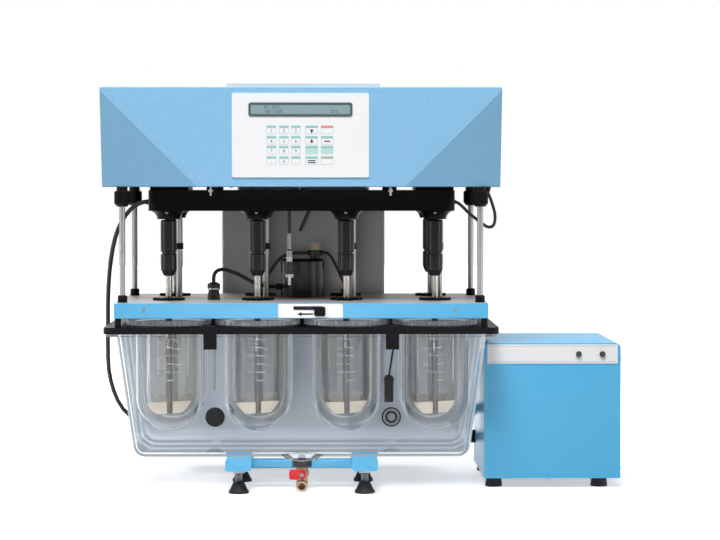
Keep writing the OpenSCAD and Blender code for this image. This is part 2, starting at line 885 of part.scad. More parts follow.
module head_base() {
  half = head_l / 2 - head_sheet - free_gap;
  front = head_front + head_sheet + free_gap;
  rear = head_rear - head_sheet - free_gap;
  cut_x = facet_a * facet_grow + 2;
  cut_y = facet_depth * facet_grow + 2;
  color("silver") at_tester() difference() {
    translate([0, 0, head_z]) linear_extrude(head_base_t) polygon([
      [-half, rear], [half, rear], [half, front + cut_y], [half - cut_x, front],
      [-half + cut_x, front], [-half, front + cut_y]
    ]);
    translate([0, motor_y, head_z - cut_over])
      cylinder(d = motor_shaft_d + 6, h = head_base_t + 2 * cut_over);
  }
}

module keypad_panel() {
  color("white") at_tester() translate([panel_x, head_front, panel_z + panel_h / 2])
    rotate([90, 0, 0]) difference() {
      slab(panel_l, panel_h, panel_t, 3);
      translate([0, display_z + display_h / 2 - panel_z - panel_h / 2, -cut_over])
        slab(display_l + 2 * fit_gap, display_h + 2 * fit_gap, panel_t + 2 * cut_over, 4);
    }
}

module display() {
  frame = 3;
  recess = 0.8;
  color("darkseagreen") at_tester() translate([panel_x, head_front, display_z + display_h / 2])
    rotate([90, 0, 0]) difference() {
      slab(display_l, display_h, display_t, 4);
      translate([0, 0, display_t - recess])
        slab(display_l - 2 * frame, display_h - 2 * frame, recess + cut_over, 1.5);
    }
}

// Belt drive

module boss() {
  r = 27;
  tip_r = 17.5;
  rotate_extrude() polygon([
    [0, boss_z], [tip_r, boss_z], [tip_r + 1, boss_z + boss_drop * 0.35],
    [tip_r + 4, boss_z + boss_drop * 0.7], [r, housing_z], [r, housing_z + housing_wall],
    [0, housing_z + housing_wall]
  ]);
}

module belt_housing() {
  spacer_d = 18;
  hanger_l = 60;
  hanger_half = 60;
  color("black") at_tester() difference() {
    union() {
      difference() {
        translate([0, 0, housing_z]) slab(2 * housing_half_l, 2 * housing_half_w, housing_h, 12);
        translate([0, 0, housing_z + housing_wall])
          slab(2 * (housing_half_l - housing_wall), 2 * (housing_half_w - housing_wall), housing_h, 8);
      }
      at_stations() boss();
      for (x = [-1, 1])
        translate([x * (housing_half_l - hanger_l / 2) - hanger_l / 2, -hanger_half, housing_top - 1])
          cube([hanger_l, 2 * hanger_half, housing_slit + 1]);
      for (x = [-1, 1]) for (y = [-1, 1])
        translate([x * station_pitch, y * (housing_half_w - spacer_d / 2), housing_top - 1])
          cylinder(d = spacer_d, h = housing_slit + 1);
    }
    at_stations() {
      translate([0, 0, boss_z - cut_over]) cylinder(d = spindle_d + 2, h = housing_h);
      translate([0, 0, bearing_z]) cylinder(d = bearing_d + 2 * fit_gap, h = housing_h);
    }
  }
}

module spindle_bearings() {
  color("silver") at_tester() at_stations() translate([0, 0, bearing_z])
    difference() {
      cylinder(d = bearing_d, h = bearing_h);
      translate([0, 0, -cut_over]) cylinder(d = spindle_d + 2 * fit_gap, h = bearing_h + 2 * cut_over);
    }
}

module drive_motor() {
  color("dimgray") at_tester() translate([0, motor_y, head_z + head_base_t]) difference() {
    slab(motor_l, motor_l, motor_h, 6);
    translate([0, 0, -cut_over]) cylinder(d = motor_shaft_d + 2 * fit_gap, h = 20);
  }
}

module motor_pulley() {
  r = motor_pulley_d / 2;
  shaft_r = motor_shaft_d / 2;
  shaft_end = head_z + head_base_t + 15;
  color("silver") at_tester() translate([0, motor_y, 0])
    rotate_extrude() polygon([
      [0, pulley_z], [r, pulley_z], [r, pulley_z + pulley_h], [shaft_r, pulley_z + pulley_h],
      [shaft_r, shaft_end], [0, shaft_end]
    ]);
}

module timing_belt() {
  corner_r = pulley_d / 2 + free_gap;
  color("black") at_tester() translate([0, 0, pulley_z + 1])
    linear_extrude(belt_w) difference() {
      rounded_rect(2 * (belt_half_l + belt_t), 2 * (belt_half_w + belt_t), corner_r + belt_t);
      rounded_rect(2 * belt_half_l, 2 * belt_half_w, corner_r);
    }
}

// Spindle sleeve with its pulley, and the clamping nut below it
module spindle(i) {
  r = chuck_d / 2;
  bore_r = shaft_d / 2 + fit_gap;
  bore_top = shaft_top + 1;
  collar_r = spindle_d / 2 + 3;
  pulley_top = pulley_z + pulley_h;
  bevel = 2;
  tip_r = shaft_d / 2 + 3;
  color("black") at_tester() translate([stations[i][0], stations[i][1], 0]) {
    rotate_extrude() polygon([
      [bore_r, sleeve_z], [r - 1, sleeve_z], [r, sleeve_z + 1], [r, chuck_top - bevel],
      [r - bevel, chuck_top], [spindle_d / 2, chuck_top], [spindle_d / 2, bearing_top + free_gap],
      [collar_r, bearing_top + free_gap], [collar_r, pulley_z], [pulley_d / 2, pulley_z],
      [pulley_d / 2, pulley_top], [0, pulley_top], [0, bore_top], [bore_r, bore_top]
    ]);
    rotate_extrude() polygon([
      [bore_r, chuck_bottom], [tip_r, chuck_bottom], [r, chuck_bottom + 9], [r, nut_top - 1],
      [r - 1, nut_top], [r - 2, nut_top], [r - 2, sleeve_z - fit_gap], [bore_r, sleeve_z - fit_gap]
    ]);
  }
}

module paddle(i) {
  color("silver") at_tester() translate([stations[i][0], stations[i][1], blade_z]) {
    cylinder(d = shaft_d, h = shaft_top - blade_z);
    rotate([90, 0, blade_turn]) translate([0, 0, -blade_t / 2]) linear_extrude(blade_t) intersection() {
      translate([0, blade_low]) circle(blade_r);
      translate([-blade_r, 0]) square([2 * blade_r, blade_low - blade_high]);
    }
  }
}

// Guide rods and lid tray

module at_rods() {
  for (x = [-rod_x, rod_x]) for (y = [rod_front, rod_rear]) translate([x, y, 0]) children();
}

// Stays between the rows, from the tray up to the belt housing
module at_stays() {
  for (c = columns) translate([c * station_pitch + stay_shift, stay_y, 0]) children();
}

module guide_rods() {
  color("silver") at_tester() {
    at_rods() translate([0, 0, tray_top]) cylinder(d = rod_d, h = rod_l);
    at_stays() translate([0, 0, tray_top]) cylinder(d = stay_d, h = housing_z - tray_top);
  }
}

module knob(h) {
  r = knob_d / 2;
  intersection() {
    linear_extrude(h) toothed_disc(knob_d, 24, 1);
    rotate_extrude() polygon([[0, 0], [r - 4, 0], [r, 5], [r, h - 2], [r - 2, h], [0, h]]);
  }
}

module rod_fittings() {
  knob_h = 24;
  neck_h = 6;
  neck_r = rod_d / 2 + 4;
  cup_r = rod_d / 2 + 3;
  cup_h = 11;
  bore_r = rod_d / 2 + fit_gap;
  ring_up = 77;
  stop_h = 10;
  stop_d = 13.5;
  color("black") at_tester() {
    at_rods() {
      translate([0, 0, head_z - neck_h - knob_h]) difference() {
        union() {
          knob(knob_h);
          translate([0, 0, knob_h - 1]) cylinder(r = neck_r, h = neck_h + 1);
        }
        translate([0, 0, -cut_over]) cylinder(r = bore_r, h = knob_h + neck_h + 2 * cut_over);
      }
      translate([0, 0, tray_top]) rotate_extrude() polygon([
        [bore_r, 0], [cup_r, 0], [cup_r, cup_h - 2], [cup_r - 1.5, cup_h], [bore_r, cup_h]
      ]);
    }
    at_stays() translate([0, 0, tray_top + ring_up]) difference() {
      cylinder(d = stop_d, h = stop_h);
      translate([0, 0, -cut_over]) cylinder(d = stay_d + 2 * fit_gap, h = stop_h + 2 * cut_over);
    }
    for (x = [-post_x, post_x]) for (y = [post_front, post_rear])
      translate([x, y, rim_top]) cylinder(d = post_d, h = tray_bottom - rim_top);
  }
}

// Places of the drop holes, towards the middle of the tray from each shaft
function drop_place(s) = [s[0], s[1] - sign(s[1]) * drop_offset];

module tray_rail(y) {
  lip = 5;
  lip_z = shutter_z - free_gap - rail_t;
  web = shutter_half_w + free_gap;
  rail_half = tray_half - 20;
  translate([-rail_half, y > 0 ? web : -web - rail_t, lip_z])
    cube([2 * rail_half, rail_t, tray_under - lip_z + 1]);
  translate([-rail_half, y > 0 ? web - lip : -web - rail_t, lip_z])
    cube([2 * rail_half, lip + rail_t, rail_t]);
}

module lever_slot(front, rear) {
  room = 2;
  left_room = 8;
  translate([lever_x - drop_travel - lever_stem_d / 2 - left_room, front, lever_z - slot_h / 2])
    cube([drop_travel + lever_stem_d + left_room + room, rear - front, slot_h]);
}

module lid_tray() {
  mid = (tray_front + tray_rear) / 2;
  deep = tray_rear - tray_front;
  plug_r = cover_d / 2 - 10;
  color("silver") at_tester() {
    difference() {
      union() {
        difference() {
          translate([0, mid, tray_bottom]) slab(2 * tray_half, deep, tray_h, 4);
          translate([0, mid, tray_bottom - tray_sheet])
            slab(2 * (tray_half - tray_sheet), deep - 2 * tray_sheet, tray_h, 2);
        }
        tray_rail(-1);
        tray_rail(1);
      }
      at_stations() translate([0, 0, tray_under - cut_over])
        cylinder(r = plug_r, h = tray_sheet + 2 * cut_over);
      for (s = stations) translate([drop_place(s)[0], drop_place(s)[1], tray_under - cut_over])
        cylinder(d = drop_d, h = tray_sheet + 2 * cut_over);
      translate([sensor_x, sensor_y, tray_under - cut_over])
        cylinder(d = sheath_d + 2, h = tray_sheet + 2 * cut_over);
      lever_slot(tray_front - cut_over, -shutter_half_w + 6);
    }
  }
}

module tray_fascia() {
  color("deepskyblue") at_tester() difference() {
    translate([-tray_half, fascia_front, tray_bottom]) cube([2 * tray_half, fascia_t, tray_h]);
    lever_slot(fascia_front - cut_over, tray_front + cut_over);
  }
}

module lever_plate() {
  color("white") at_tester() difference() {
    translate([lever_plate_x - lever_plate_l / 2, fascia_front - lever_plate_t, tray_bottom + 1])
      cube([lever_plate_l, lever_plate_t, tray_h - 2]);
    lever_slot(fascia_front - lever_plate_t - cut_over, fascia_front + cut_over);
  }
}

module shaft_covers() {
  plug_r = cover_d / 2 - 10 - free_gap;
  bore_r = shaft_d / 2 + shaft_room;
  color("black") at_tester() at_stations() difference() {
    union() {
      translate([0, 0, tray_top]) linear_extrude(cover_t) toothed_disc(cover_d, 8, 5);
      translate([0, 0, tray_under]) cylinder(r = plug_r, h = tray_sheet + cut_over);
    }
    translate([0, 0, tray_under - cut_over]) cylinder(r = bore_r, h = cover_t + tray_sheet + 2 * cut_over);
  }
}

// Slot along the row, for what stands still while the shutter slides
module slide_slot(x, y, d) {
  translate([x, y]) {
    circle(d = d);
    translate([0, -d / 2]) square([drop_travel, d]);
    translate([drop_travel, 0]) circle(d = d);
  }
}

module drop_shutter() {
  margin = 26;
  left = -half_row - margin;
  right = half_row + margin + drop_travel;
  stem_end = fascia_front - lever_plate_t - knob_gap;
  color("black") at_tester() {
    translate([0, 0, shutter_z]) linear_extrude(shutter_t) difference() {
      translate([left, -shutter_half_w]) square([right - left, 2 * shutter_half_w]);
      for (s = stations) {
        slide_slot(s[0], s[1], shaft_d + 6);
        translate([drop_place(s)[0] + drop_travel, drop_place(s)[1]]) circle(d = drop_d);
      }
      slide_slot(sensor_x, sensor_y, sheath_d + 4);
    }
    translate([lever_x, -shutter_half_w + 6, lever_z]) rotate([90, 0, 0])
      cylinder(d = lever_stem_d, h = -shutter_half_w + 6 - stem_end);
    translate([lever_x, stem_end, lever_z - 4.5]) rotate([90, 0, 0]) slab(17, 14, lever_knob_l, 3);
  }
}

// Sensors

module sensor_pod() {
  r = pod_d / 2;
  boss_r = 8;
  nut_h = 11;
  arm_r = 4;
  arm_l = 12;
  gland_r = 5;
  gland_l = 8;
  gland_z = 16;
  color("black") at_tester() translate([0, pod_y, tray_top]) {
    rotate_extrude() polygon([[0, 0], [r, 0], [r, pod_h - 4], [r - 4, pod_h], [0, pod_h]]);
    translate([-r - gland_l, 0, gland_z]) rotate([0, 90, 0]) cylinder(r = gland_r, h = r);
    translate([union_x, 0, pod_h]) cylinder(r = boss_r, h = union_z - tray_top - pod_h);
    translate([union_x - arm_l, 0, union_z - tray_top - arm_r - 1])
      rotate([0, 90, 0]) cylinder(r = arm_r, h = 2 * arm_l);
    for (e = tube_ends) translate([e[0], e[1] - pod_y, cover_t]) cylinder(r = 6, h = 8);
    translate([union_x, 0, union_z - tray_top + fit_gap]) cylinder(r = boss_r, h = nut_h, $fn = 6);
  }
}

module bath_sensor() {
  gland_r = 10;
  gland_h = 27;
  sheath_z = leg_top + 98;
  color("dimgray") at_tester() translate([sensor_x, sensor_y, 0]) {
    translate([0, 0, tray_top]) rotate_extrude() polygon([
      [0, 0], [gland_r, 0], [gland_r - 1, 10], [gland_r - 2, 14], [gland_r, 16], [gland_r, 24],
      [gland_r - 4, gland_h], [0, gland_h]
    ]);
    translate([0, 0, sheath_z]) cylinder(d = sheath_d, h = tray_top - sheath_z);
  }
}

module temperature_probe() {
  x = -20;
  y = -40;
  tip_z = tray_top + 22;
  nut_z = tray_top + 34;
  grip_z = nut_z + 42;
  color("dimgray") at_tester() {
    translate([x, y, 0]) rotate_extrude() polygon([
      [0, tip_z], [2.5, tip_z], [2.5, nut_z], [6.5, nut_z], [6.5, nut_z + 7], [4.5, nut_z + 8], [4.5, grip_z],
      [3, grip_z + 2], [3, housing_z], [0, housing_z]
    ]);
    difference() {
      rod_between([-4, pod_y, tray_top + 105], [16, pod_y, housing_z + 10], 6);
      translate([0, pod_y, housing_z + 25]) cube([100, 50, 50], center = true);
    }
  }
}

module lift_lead() {
  color("black") at_tester() lead(lift_route, 7, [0.6, -0.8, 0]);
}

module loop_lead() {
  color("black") at_tester() lead(loop_route, 5, [0, 1, 0]);
}

module probe_leads() {
  color("black") at_tester() {
    lead(sensor_route, 6, [0.8, -0.6, 0.1]);
    lead(left_tube_route, 5, [0, 1, 0]);
    lead(right_tube_route, 5, [0, 1, 0]);
  }
}

base_frame();
rubber_feet();
column();
lift_motor();
lead_screw();
water_tank();
tank_rim();
vessel_plate();
vessel_rings();
vessel_row(-1);  // front_vessels
vessel_row(1);  // rear_vessels
rim_clips();
level_sensor();
hose_fittings();
water_hoses();
drain_valve();
drain_handle();
heater_case();
heater_panel();
heater_lamps();
head_cover();
head_base();
belt_housing();
spindle_bearings();
drive_motor();
motor_pulley();
timing_belt();
keypad_panel();
display();
lift_mast();
rear_cover();
guide_rods();
rod_fittings();
lid_tray();
tray_fascia();
lever_plate();
shaft_covers();
drop_shutter();
sensor_pod();
bath_sensor();
temperature_probe();
lift_lead();
loop_lead();
probe_leads();
spindle(0);  // spindle_1
spindle(1);  // spindle_2
spindle(2);  // spindle_3
spindle(3);  // spindle_4
spindle(4);  // spindle_5
spindle(5);  // spindle_6
spindle(6);  // spindle_7
spindle(7);  // spindle_8
paddle(0);  // paddle_1
paddle(1);  // paddle_2
paddle(2);  // paddle_3
paddle(3);  // paddle_4
paddle(4);  // paddle_5
paddle(5);  // paddle_6
paddle(6);  // paddle_7
paddle(7);  // paddle_8
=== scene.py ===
import math

import bmesh
import bpy
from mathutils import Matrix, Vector


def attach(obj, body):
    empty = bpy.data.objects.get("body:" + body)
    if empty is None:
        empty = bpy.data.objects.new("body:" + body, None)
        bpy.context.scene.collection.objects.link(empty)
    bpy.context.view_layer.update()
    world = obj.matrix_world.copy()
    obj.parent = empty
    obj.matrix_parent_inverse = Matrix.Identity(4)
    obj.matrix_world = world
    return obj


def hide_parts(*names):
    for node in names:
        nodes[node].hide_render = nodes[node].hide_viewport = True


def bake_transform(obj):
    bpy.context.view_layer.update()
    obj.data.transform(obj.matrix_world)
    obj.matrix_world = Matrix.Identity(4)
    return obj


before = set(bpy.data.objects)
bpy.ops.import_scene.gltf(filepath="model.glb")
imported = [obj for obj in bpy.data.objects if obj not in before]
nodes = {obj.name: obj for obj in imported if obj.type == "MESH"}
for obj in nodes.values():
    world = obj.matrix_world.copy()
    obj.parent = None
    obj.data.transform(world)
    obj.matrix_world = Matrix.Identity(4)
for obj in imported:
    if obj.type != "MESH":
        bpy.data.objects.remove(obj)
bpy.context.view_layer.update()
scene = bpy.context.scene

# Studio: a white paper floor under a high key lamp, seen from the front through a long lens at the
# height of the head's lower edge. A narrow low lamp looks into the bath, and one behind lights the back.
MM = 0.001
CAMERA_PLACE, CAMERA_AIM = (-0.06125, -3.709, 0.474), (-0.00835, -0.209, 0.3454)
LENS_MM, SENSOR_MM = 115.7, 36
WHITE = (1, 1, 1, 1)


def aim(thing, place, target):
    """Puts a camera or lamp at a place and points it at a target, both in metres."""
    thing.location = place
    thing.rotation_euler = (Vector(target) - thing.location).to_track_quat("-Z", "Y").to_euler()
    scene.collection.objects.link(thing)


def linear(colour):
    """An sRGB hex colour as the linear colour that shaders take."""
    parts = [int(colour[i:i + 2], 16) / 255 for i in (1, 3, 5)]
    return [c / 12.92 if c <= 0.04045 else ((c + 0.055) / 1.055) ** 2.4 for c in parts] + [1]


def add(tree, kind, settings={}, links={}):
    """A node with its sockets or properties set, and its inputs linked."""
    node = tree.nodes.new(kind)
    for key, value in settings.items():
        if isinstance(key, int) or key in node.inputs:
            node.inputs[key].default_value = value
        else:
            setattr(node, key, value)
    for key, output in links.items():
        tree.links.new(output, node.inputs[key])
    return node


scene.view_settings.view_transform = "Standard"
camera = bpy.data.objects.new("camera", bpy.data.cameras.new("camera"))
camera.data.lens, camera.data.sensor_width = LENS_MM, SENSOR_MM
aim(camera, CAMERA_PLACE, CAMERA_AIM)
scene.camera = camera

# What the eye sees behind the object is white. Mirrors see a dark room in front, so that black
# anodising stays black, and matt surfaces get an even half light.
ROOM_IN_FRONT, ROOM_BEHIND, MATT_LIGHT = 0.06, 0.75, 0.46
world = bpy.data.worlds.new("studio")
world.use_nodes = True
scene.world = world
tree = world.node_tree
tree.nodes.clear()
rays = add(tree, "ShaderNodeLightPath")
way = add(tree, "ShaderNodeTexCoord").outputs["Generated"]
toward = add(tree, "ShaderNodeSeparateXYZ", links={0: way})
room = add(tree, "ShaderNodeMapRange",
           {"From Min": -0.9, "From Max": 0.3, "To Min": ROOM_IN_FRONT, "To Max": ROOM_BEHIND},
           {"Value": toward.outputs["Y"]})
matt_light = add(tree, "ShaderNodeMix", {2: MATT_LIGHT},
                 {0: rays.outputs["Is Glossy Ray"], 3: room.outputs[0]})
clear_way = add(tree, "ShaderNodeMath", {"operation": "MAXIMUM"},
                {0: rays.outputs["Is Camera Ray"], 1: rays.outputs["Is Transmission Ray"]})
level = add(tree, "ShaderNodeMix", {3: 1.0}, {0: clear_way.outputs[0], 2: matt_light.outputs[0]})
sky = add(tree, "ShaderNodeBackground", {"Color": WHITE}, {"Strength": level.outputs[0]})
add(tree, "ShaderNodeOutputWorld", links={"Surface": sky.outputs[0]})

for name, place, target, power, size, cone in (
    ("key_lamp", (-0.25, -1.8, 3.15), (0, -0.1, 0.5), 105, 1.2, 180),
    ("low_lamp", (-0.3, -3.2, 0.16), (-0.097, 0, 0.08), 0.35, 0.5, 15),
    ("back_lamp", (-1.2, 2.6, 2.2), (0, 0, 0.3), 40, 1.4, 180),
):
    lamp = bpy.data.objects.new(name, bpy.data.lights.new(name, "AREA"))
    lamp.data.energy, lamp.data.size, lamp.data.spread = power, size, math.radians(cone)
    lamp.visible_glossy = name != "low_lamp"
    aim(lamp, place, target)

# Two tall strips at the sides only show as bright lines in glass, chucks and rods.
STRIP_W, STRIP_H, STRIP_POWER, STRIP_AIM = 0.16, 1.2, 5, (-0.09725, 0, 0.3)
for name, place in (("left_strip", (-2.2, -0.9, 0.35)), ("right_strip", (1.9, -1.0, 0.35))):
    lamp = bpy.data.objects.new(name, bpy.data.lights.new(name, "AREA"))
    lamp.data.shape, lamp.data.size, lamp.data.size_y = "RECTANGLE", STRIP_W, STRIP_H
    lamp.data.energy = STRIP_POWER
    lamp.visible_diffuse = False
    aim(lamp, place, STRIP_AIM)

# Studio paper: even white to the eye and in mirrors, paler away from the object, and a dull grey to
# the light that it throws back up, so that surfaces which face down stay darker.
FLOOR_SIDE, FLOOR_FRONT, FLOOR_BACK = 8, -6, 10
NEAR, FAR, NEAR_GLOW, FAR_GLOW = 0.3, 1.2, 0.5, 1.0
FLECK_MM = 25
floor_mesh = bpy.data.meshes.new("floor")
floor_mesh.from_pydata([(-FLOOR_SIDE, FLOOR_FRONT, 0), (FLOOR_SIDE, FLOOR_FRONT, 0),
                        (FLOOR_SIDE, FLOOR_BACK, 0), (-FLOOR_SIDE, FLOOR_BACK, 0)], [], [(0, 1, 2, 3)])
floor = bpy.data.objects.new("floor", floor_mesh)
scene.collection.objects.link(floor)
paper = bpy.data.materials.new("studio_paper")
paper.use_nodes = True
tree = paper.node_tree
tree.nodes.clear()
place = add(tree, "ShaderNodeTexCoord").outputs["Object"]
reach = add(tree, "ShaderNodeVectorMath", {"operation": "LENGTH"}, {0: place})
glow = add(tree, "ShaderNodeMapRange",
           {"From Min": NEAR, "From Max": FAR, "To Min": NEAR_GLOW, "To Max": FAR_GLOW},
           {"Value": reach.outputs["Value"]})
rays = add(tree, "ShaderNodeLightPath")
seen = add(tree, "ShaderNodeMath", {"operation": "SUBTRACT", 0: 1.0}, {1: rays.outputs["Is Diffuse Ray"]})
strength = add(tree, "ShaderNodeMath", {"operation": "MULTIPLY"}, {0: glow.outputs[0], 1: seen.outputs[0]})
light = add(tree, "ShaderNodeEmission", {"Color": WHITE}, {"Strength": strength.outputs[0]})
fleck = add(tree, "ShaderNodeTexNoise", {"Scale": 1 / (FLECK_MM * MM)}, {"Vector": place})
tone = add(tree, "ShaderNodeMix", {"data_type": "RGBA", 6: linear("#E9E9EA"), 7: linear("#EFEFF0")},
           {0: fleck.outputs[0]})
dull = add(tree, "ShaderNodeMix", {"data_type": "RGBA", 7: linear("#868686")},
           {0: rays.outputs["Is Diffuse Ray"], 6: tone.outputs[2]})
matt = add(tree, "ShaderNodeBsdfDiffuse", links={"Color": dull.outputs[2]})
both = add(tree, "ShaderNodeAddShader", links={0: light.outputs[0], 1: matt.outputs[0]})
add(tree, "ShaderNodeOutputMaterial", links={"Surface": both.outputs[0]})
floor_mesh.materials.append(paper)

# Base: two welded box legs with cross bars, powder coated sky blue, on rubber levelling feet with
# threaded studs and lock nuts.
TESTER_X, TESTER_Y = -97.25, -34.0
GLOSS_DRIFT, RELIEF_STRENGTH, EDGE_ANGLE = 0.15, 0.6, 50


def at(x, y, z):
    """A point of the tester, in mm from the middle of its rows, as a point of the frame in metres."""
    return Vector(((x + TESTER_X) * MM, (y + TESTER_Y) * MM, z * MM))


# Most real grits are under 0.3 mm, too fine for this view, so each is drawn as coarse as it needs to show.
def surface(name, colour, shade, patch, grit, depth, rough, **sockets):
    """A finish of two close shades that drift over patches, with a fine relief. Sizes are in mm."""
    finish = bpy.data.materials.new(name)
    finish.use_nodes = True
    tree = finish.node_tree
    shader = tree.nodes["Principled BSDF"]
    place = add(tree, "ShaderNodeTexCoord").outputs["Object"]
    drift = add(tree, "ShaderNodeTexNoise", {"Scale": 1 / (patch * MM), "Detail": 3.0}, {"Vector": place})
    tint = add(tree, "ShaderNodeMix", {"data_type": "RGBA", 6: linear(colour), 7: linear(shade)},
               {0: drift.outputs[0]})
    grain = add(tree, "ShaderNodeTexNoise", {"Scale": 1 / (grit * MM), "Detail": 2.0}, {"Vector": place})
    relief = add(tree, "ShaderNodeBump", {"Strength": RELIEF_STRENGTH, "Distance": depth * MM},
                 {"Height": grain.outputs[0]})
    gloss = add(tree, "ShaderNodeMapRange",
                {"To Min": rough * (1 - GLOSS_DRIFT), "To Max": rough * (1 + GLOSS_DRIFT)},
                {"Value": drift.outputs[0]})
    for socket, output in (("Base Color", tint.outputs[2]), ("Normal", relief.outputs[0]),
                           ("Roughness", gloss.outputs[0])):
        tree.links.new(output, shader.inputs[socket])
    for socket, value in sockets.items():
        shader.inputs[socket.replace("_", " ")].default_value = value
    return finish


def piece(name, form, finish, body, crease=35):
    """A mesh of (points in mm, faces) in one finish that rides on a body, smooth up to the crease angle."""
    points, faces = form
    mesh = bpy.data.meshes.new(name)
    mesh.from_pydata([at(*p) for p in points], [], faces)
    shell = bmesh.new()
    shell.from_mesh(mesh)
    bmesh.ops.recalc_face_normals(shell, faces=shell.faces)
    shell.to_mesh(mesh)
    shell.free()
    mesh.materials.append(finish)
    mesh.shade_smooth()
    mesh.set_sharp_from_angle(angle=math.radians(crease))
    thing = bpy.data.objects.new(name, mesh)
    scene.collection.objects.link(thing)
    if body:
        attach(thing, body)
    return thing


def dress(finish, *names, bevel=0):
    """Gives CAD nodes a finish and, where asked, edges rounded by a bevel in mm."""
    for name in names:
        thing = nodes[name]
        for part in thing.material_slots:
            part.material = finish
        if bevel:
            weld = thing.modifiers.new("weld", "WELD")
            weld.merge_threshold = 0.01 * MM
            edge = thing.modifiers.new("edge", "BEVEL")
            edge.width, edge.segments, edge.limit_method = bevel * MM, 3, "ANGLE"
            edge.angle_limit = math.radians(EDGE_ANGLE)
            edge.harden_normals = True


def turned(profile, x, y, z, axis="z", sides=32):
    """A form turned about an axis through a point: the profile is (radius, height along the axis)."""
    points, faces = [], []
    for r, h in profile:
        for k in range(sides):
            turn = math.tau * (k + 0.5) / sides
            u, v = r * math.cos(turn), r * math.sin(turn)
            points.append({"z": (x + u, y + v, z + h), "y": (x + u, y + h, z - v),
                           "x": (x + h, y + u, z + v)}[axis])
    for i in range(len(profile) - 1):
        for k in range(sides):
            a, b = i * sides + k, i * sides + (k + 1) % sides
            faces.append((a, b, b + sides, a + sides))
    last = (len(profile) - 1) * sides
    faces.append(tuple(range(sides - 1, -1, -1)))
    faces.append(tuple(last + k for k in range(sides)))
    return points, faces


def joined(*forms):
    """Several forms as one."""
    points, faces = [], []
    for more_points, more_faces in forms:
        start = len(points)
        points += list(more_points)
        faces += [tuple(i + start for i in face) for face in more_faces]
    return points, faces


# Powder coat is an even satin skin. Its orange peel, about 0.5 mm, is drawn at 1.4 mm to show.
blue_paint = surface("sky_blue_powder_coat", "#52B7E8", "#57BAEA", 260, 1.4, 0.03, 0.29,
                     Specular_IOR_Level=0.45)
# Rubber is a dull black with a moulded grain. Zinc plate is a cool grey with a soft shine.
rubber = surface("moulded_rubber", "#101011", "#19191A", 12, 0.8, 0.08, 0.62)
zinc = surface("zinc_plated_steel", "#8E8F90", "#A5A6A6", 6, 0.6, 0.02, 0.33, Metallic=1.0)
dress(blue_paint, "base_frame", bevel=0.8)
dress(rubber, "rubber_feet")
LEG_X, FOOT_ROWS = 97, (-125, 20, 215)
STUD_LOW, THREAD_PITCH, THREAD_TURNS, ROOT_R, CREST_R = 18, 2, 6, 5.2, 5.9
LOCK_NUT = [(9.4, 30.8), (10.6, 31.6), (10.6, 35), (9.4, 35.9)]
thread = [(ROOT_R, STUD_LOW)]
for k in range(THREAD_TURNS):
    thread += [(CREST_R, STUD_LOW + 0.8 + THREAD_PITCH * k), (ROOT_R, STUD_LOW + 1.8 + THREAD_PITCH * k)]
studs = []
for x in (-LEG_X, LEG_X):
    for y in FOOT_ROWS:
        studs.append(turned(thread, x, y, 0, sides=24))
        studs.append(turned(LOCK_NUT, x, y, 0, sides=6))
piece("levelling_studs", joined(*studs), zinc, "root")

# Column and lift: a folded sheet column in satin grey paint, with an aluminium mast that slides
# in it and carries the head, and a paler cover behind the head. Pan head screws hold the sheets
# from behind.


def screw_head(x, y, z, r=3.2, axis="y", out=-1):
    """A pan head screw with a socket in it, standing out of a face along an axis."""
    profile = ((1, 0), (1, 0.35), (0.8, 0.62), (0.58, 0.66), (0.5, 0.64), (0.5, 0.3), (0.004, 0.26))
    return turned([(r * radius, out * r * height) for radius, height in profile], x, y, z, axis, 24)


# Both paints are smooth and satin, with an orange peel drawn at 1.2 mm. Brushed and ground metal shine
# softly, and the motors' cast cases are matt and grainy.
grey_paint = surface("satin_grey_paint", "#A6A6A7", "#B0B0B0", 90, 1.2, 0.03, 0.36)
pale_grey_paint = surface("pale_grey_paint", "#C9CDD0", "#D0D4D6", 90, 1.2, 0.03, 0.4)
brushed = surface("brushed_aluminium", "#B4B2AF", "#BFBDBA", 25, 0.7, 0.02, 0.3, Metallic=1.0)
steel = surface("ground_stainless_steel", "#A19F9C", "#A8A6A3", 40, 3.0, 0.0006, 0.33, Metallic=1.0)
cast = surface("cast_motor_casing", "#1D1E20", "#27282A", 20, 1.0, 0.15, 0.55)
dress(grey_paint, "column", bevel=0.6)
dress(pale_grey_paint, "rear_cover", bevel=0.6)
dress(brushed, "lift_mast", "head_base")
dress(cast, "lift_motor", "drive_motor")
dress(steel, "lead_screw", "motor_pulley", "spindle_bearings")
COLUMN_BACK, COLUMN_SCREW_X, COLUMN_SCREW_ROWS = 252, 118, (75, 200, 325, 445)
COVER_BACK, COVER_SCREW_X, COVER_SCREW_ROWS = 255, 115, (485, 555, 628)
piece("column_screws", joined(*(
    screw_head(x, COLUMN_BACK, z, out=1)
    for x in (-COLUMN_SCREW_X, COLUMN_SCREW_X) for z in COLUMN_SCREW_ROWS)), zinc, "root")
piece("cover_screws", joined(*(
    screw_head(x, COVER_BACK, z, out=1)
    for x in (-COVER_SCREW_X, COVER_SCREW_X) for z in COVER_SCREW_ROWS)), zinc, "head")

# Water bath: a vacuum formed tub of clear plastic under a moulded black rim that holds the vessel
# plate. Toothed rings centre the vessels in the plate.

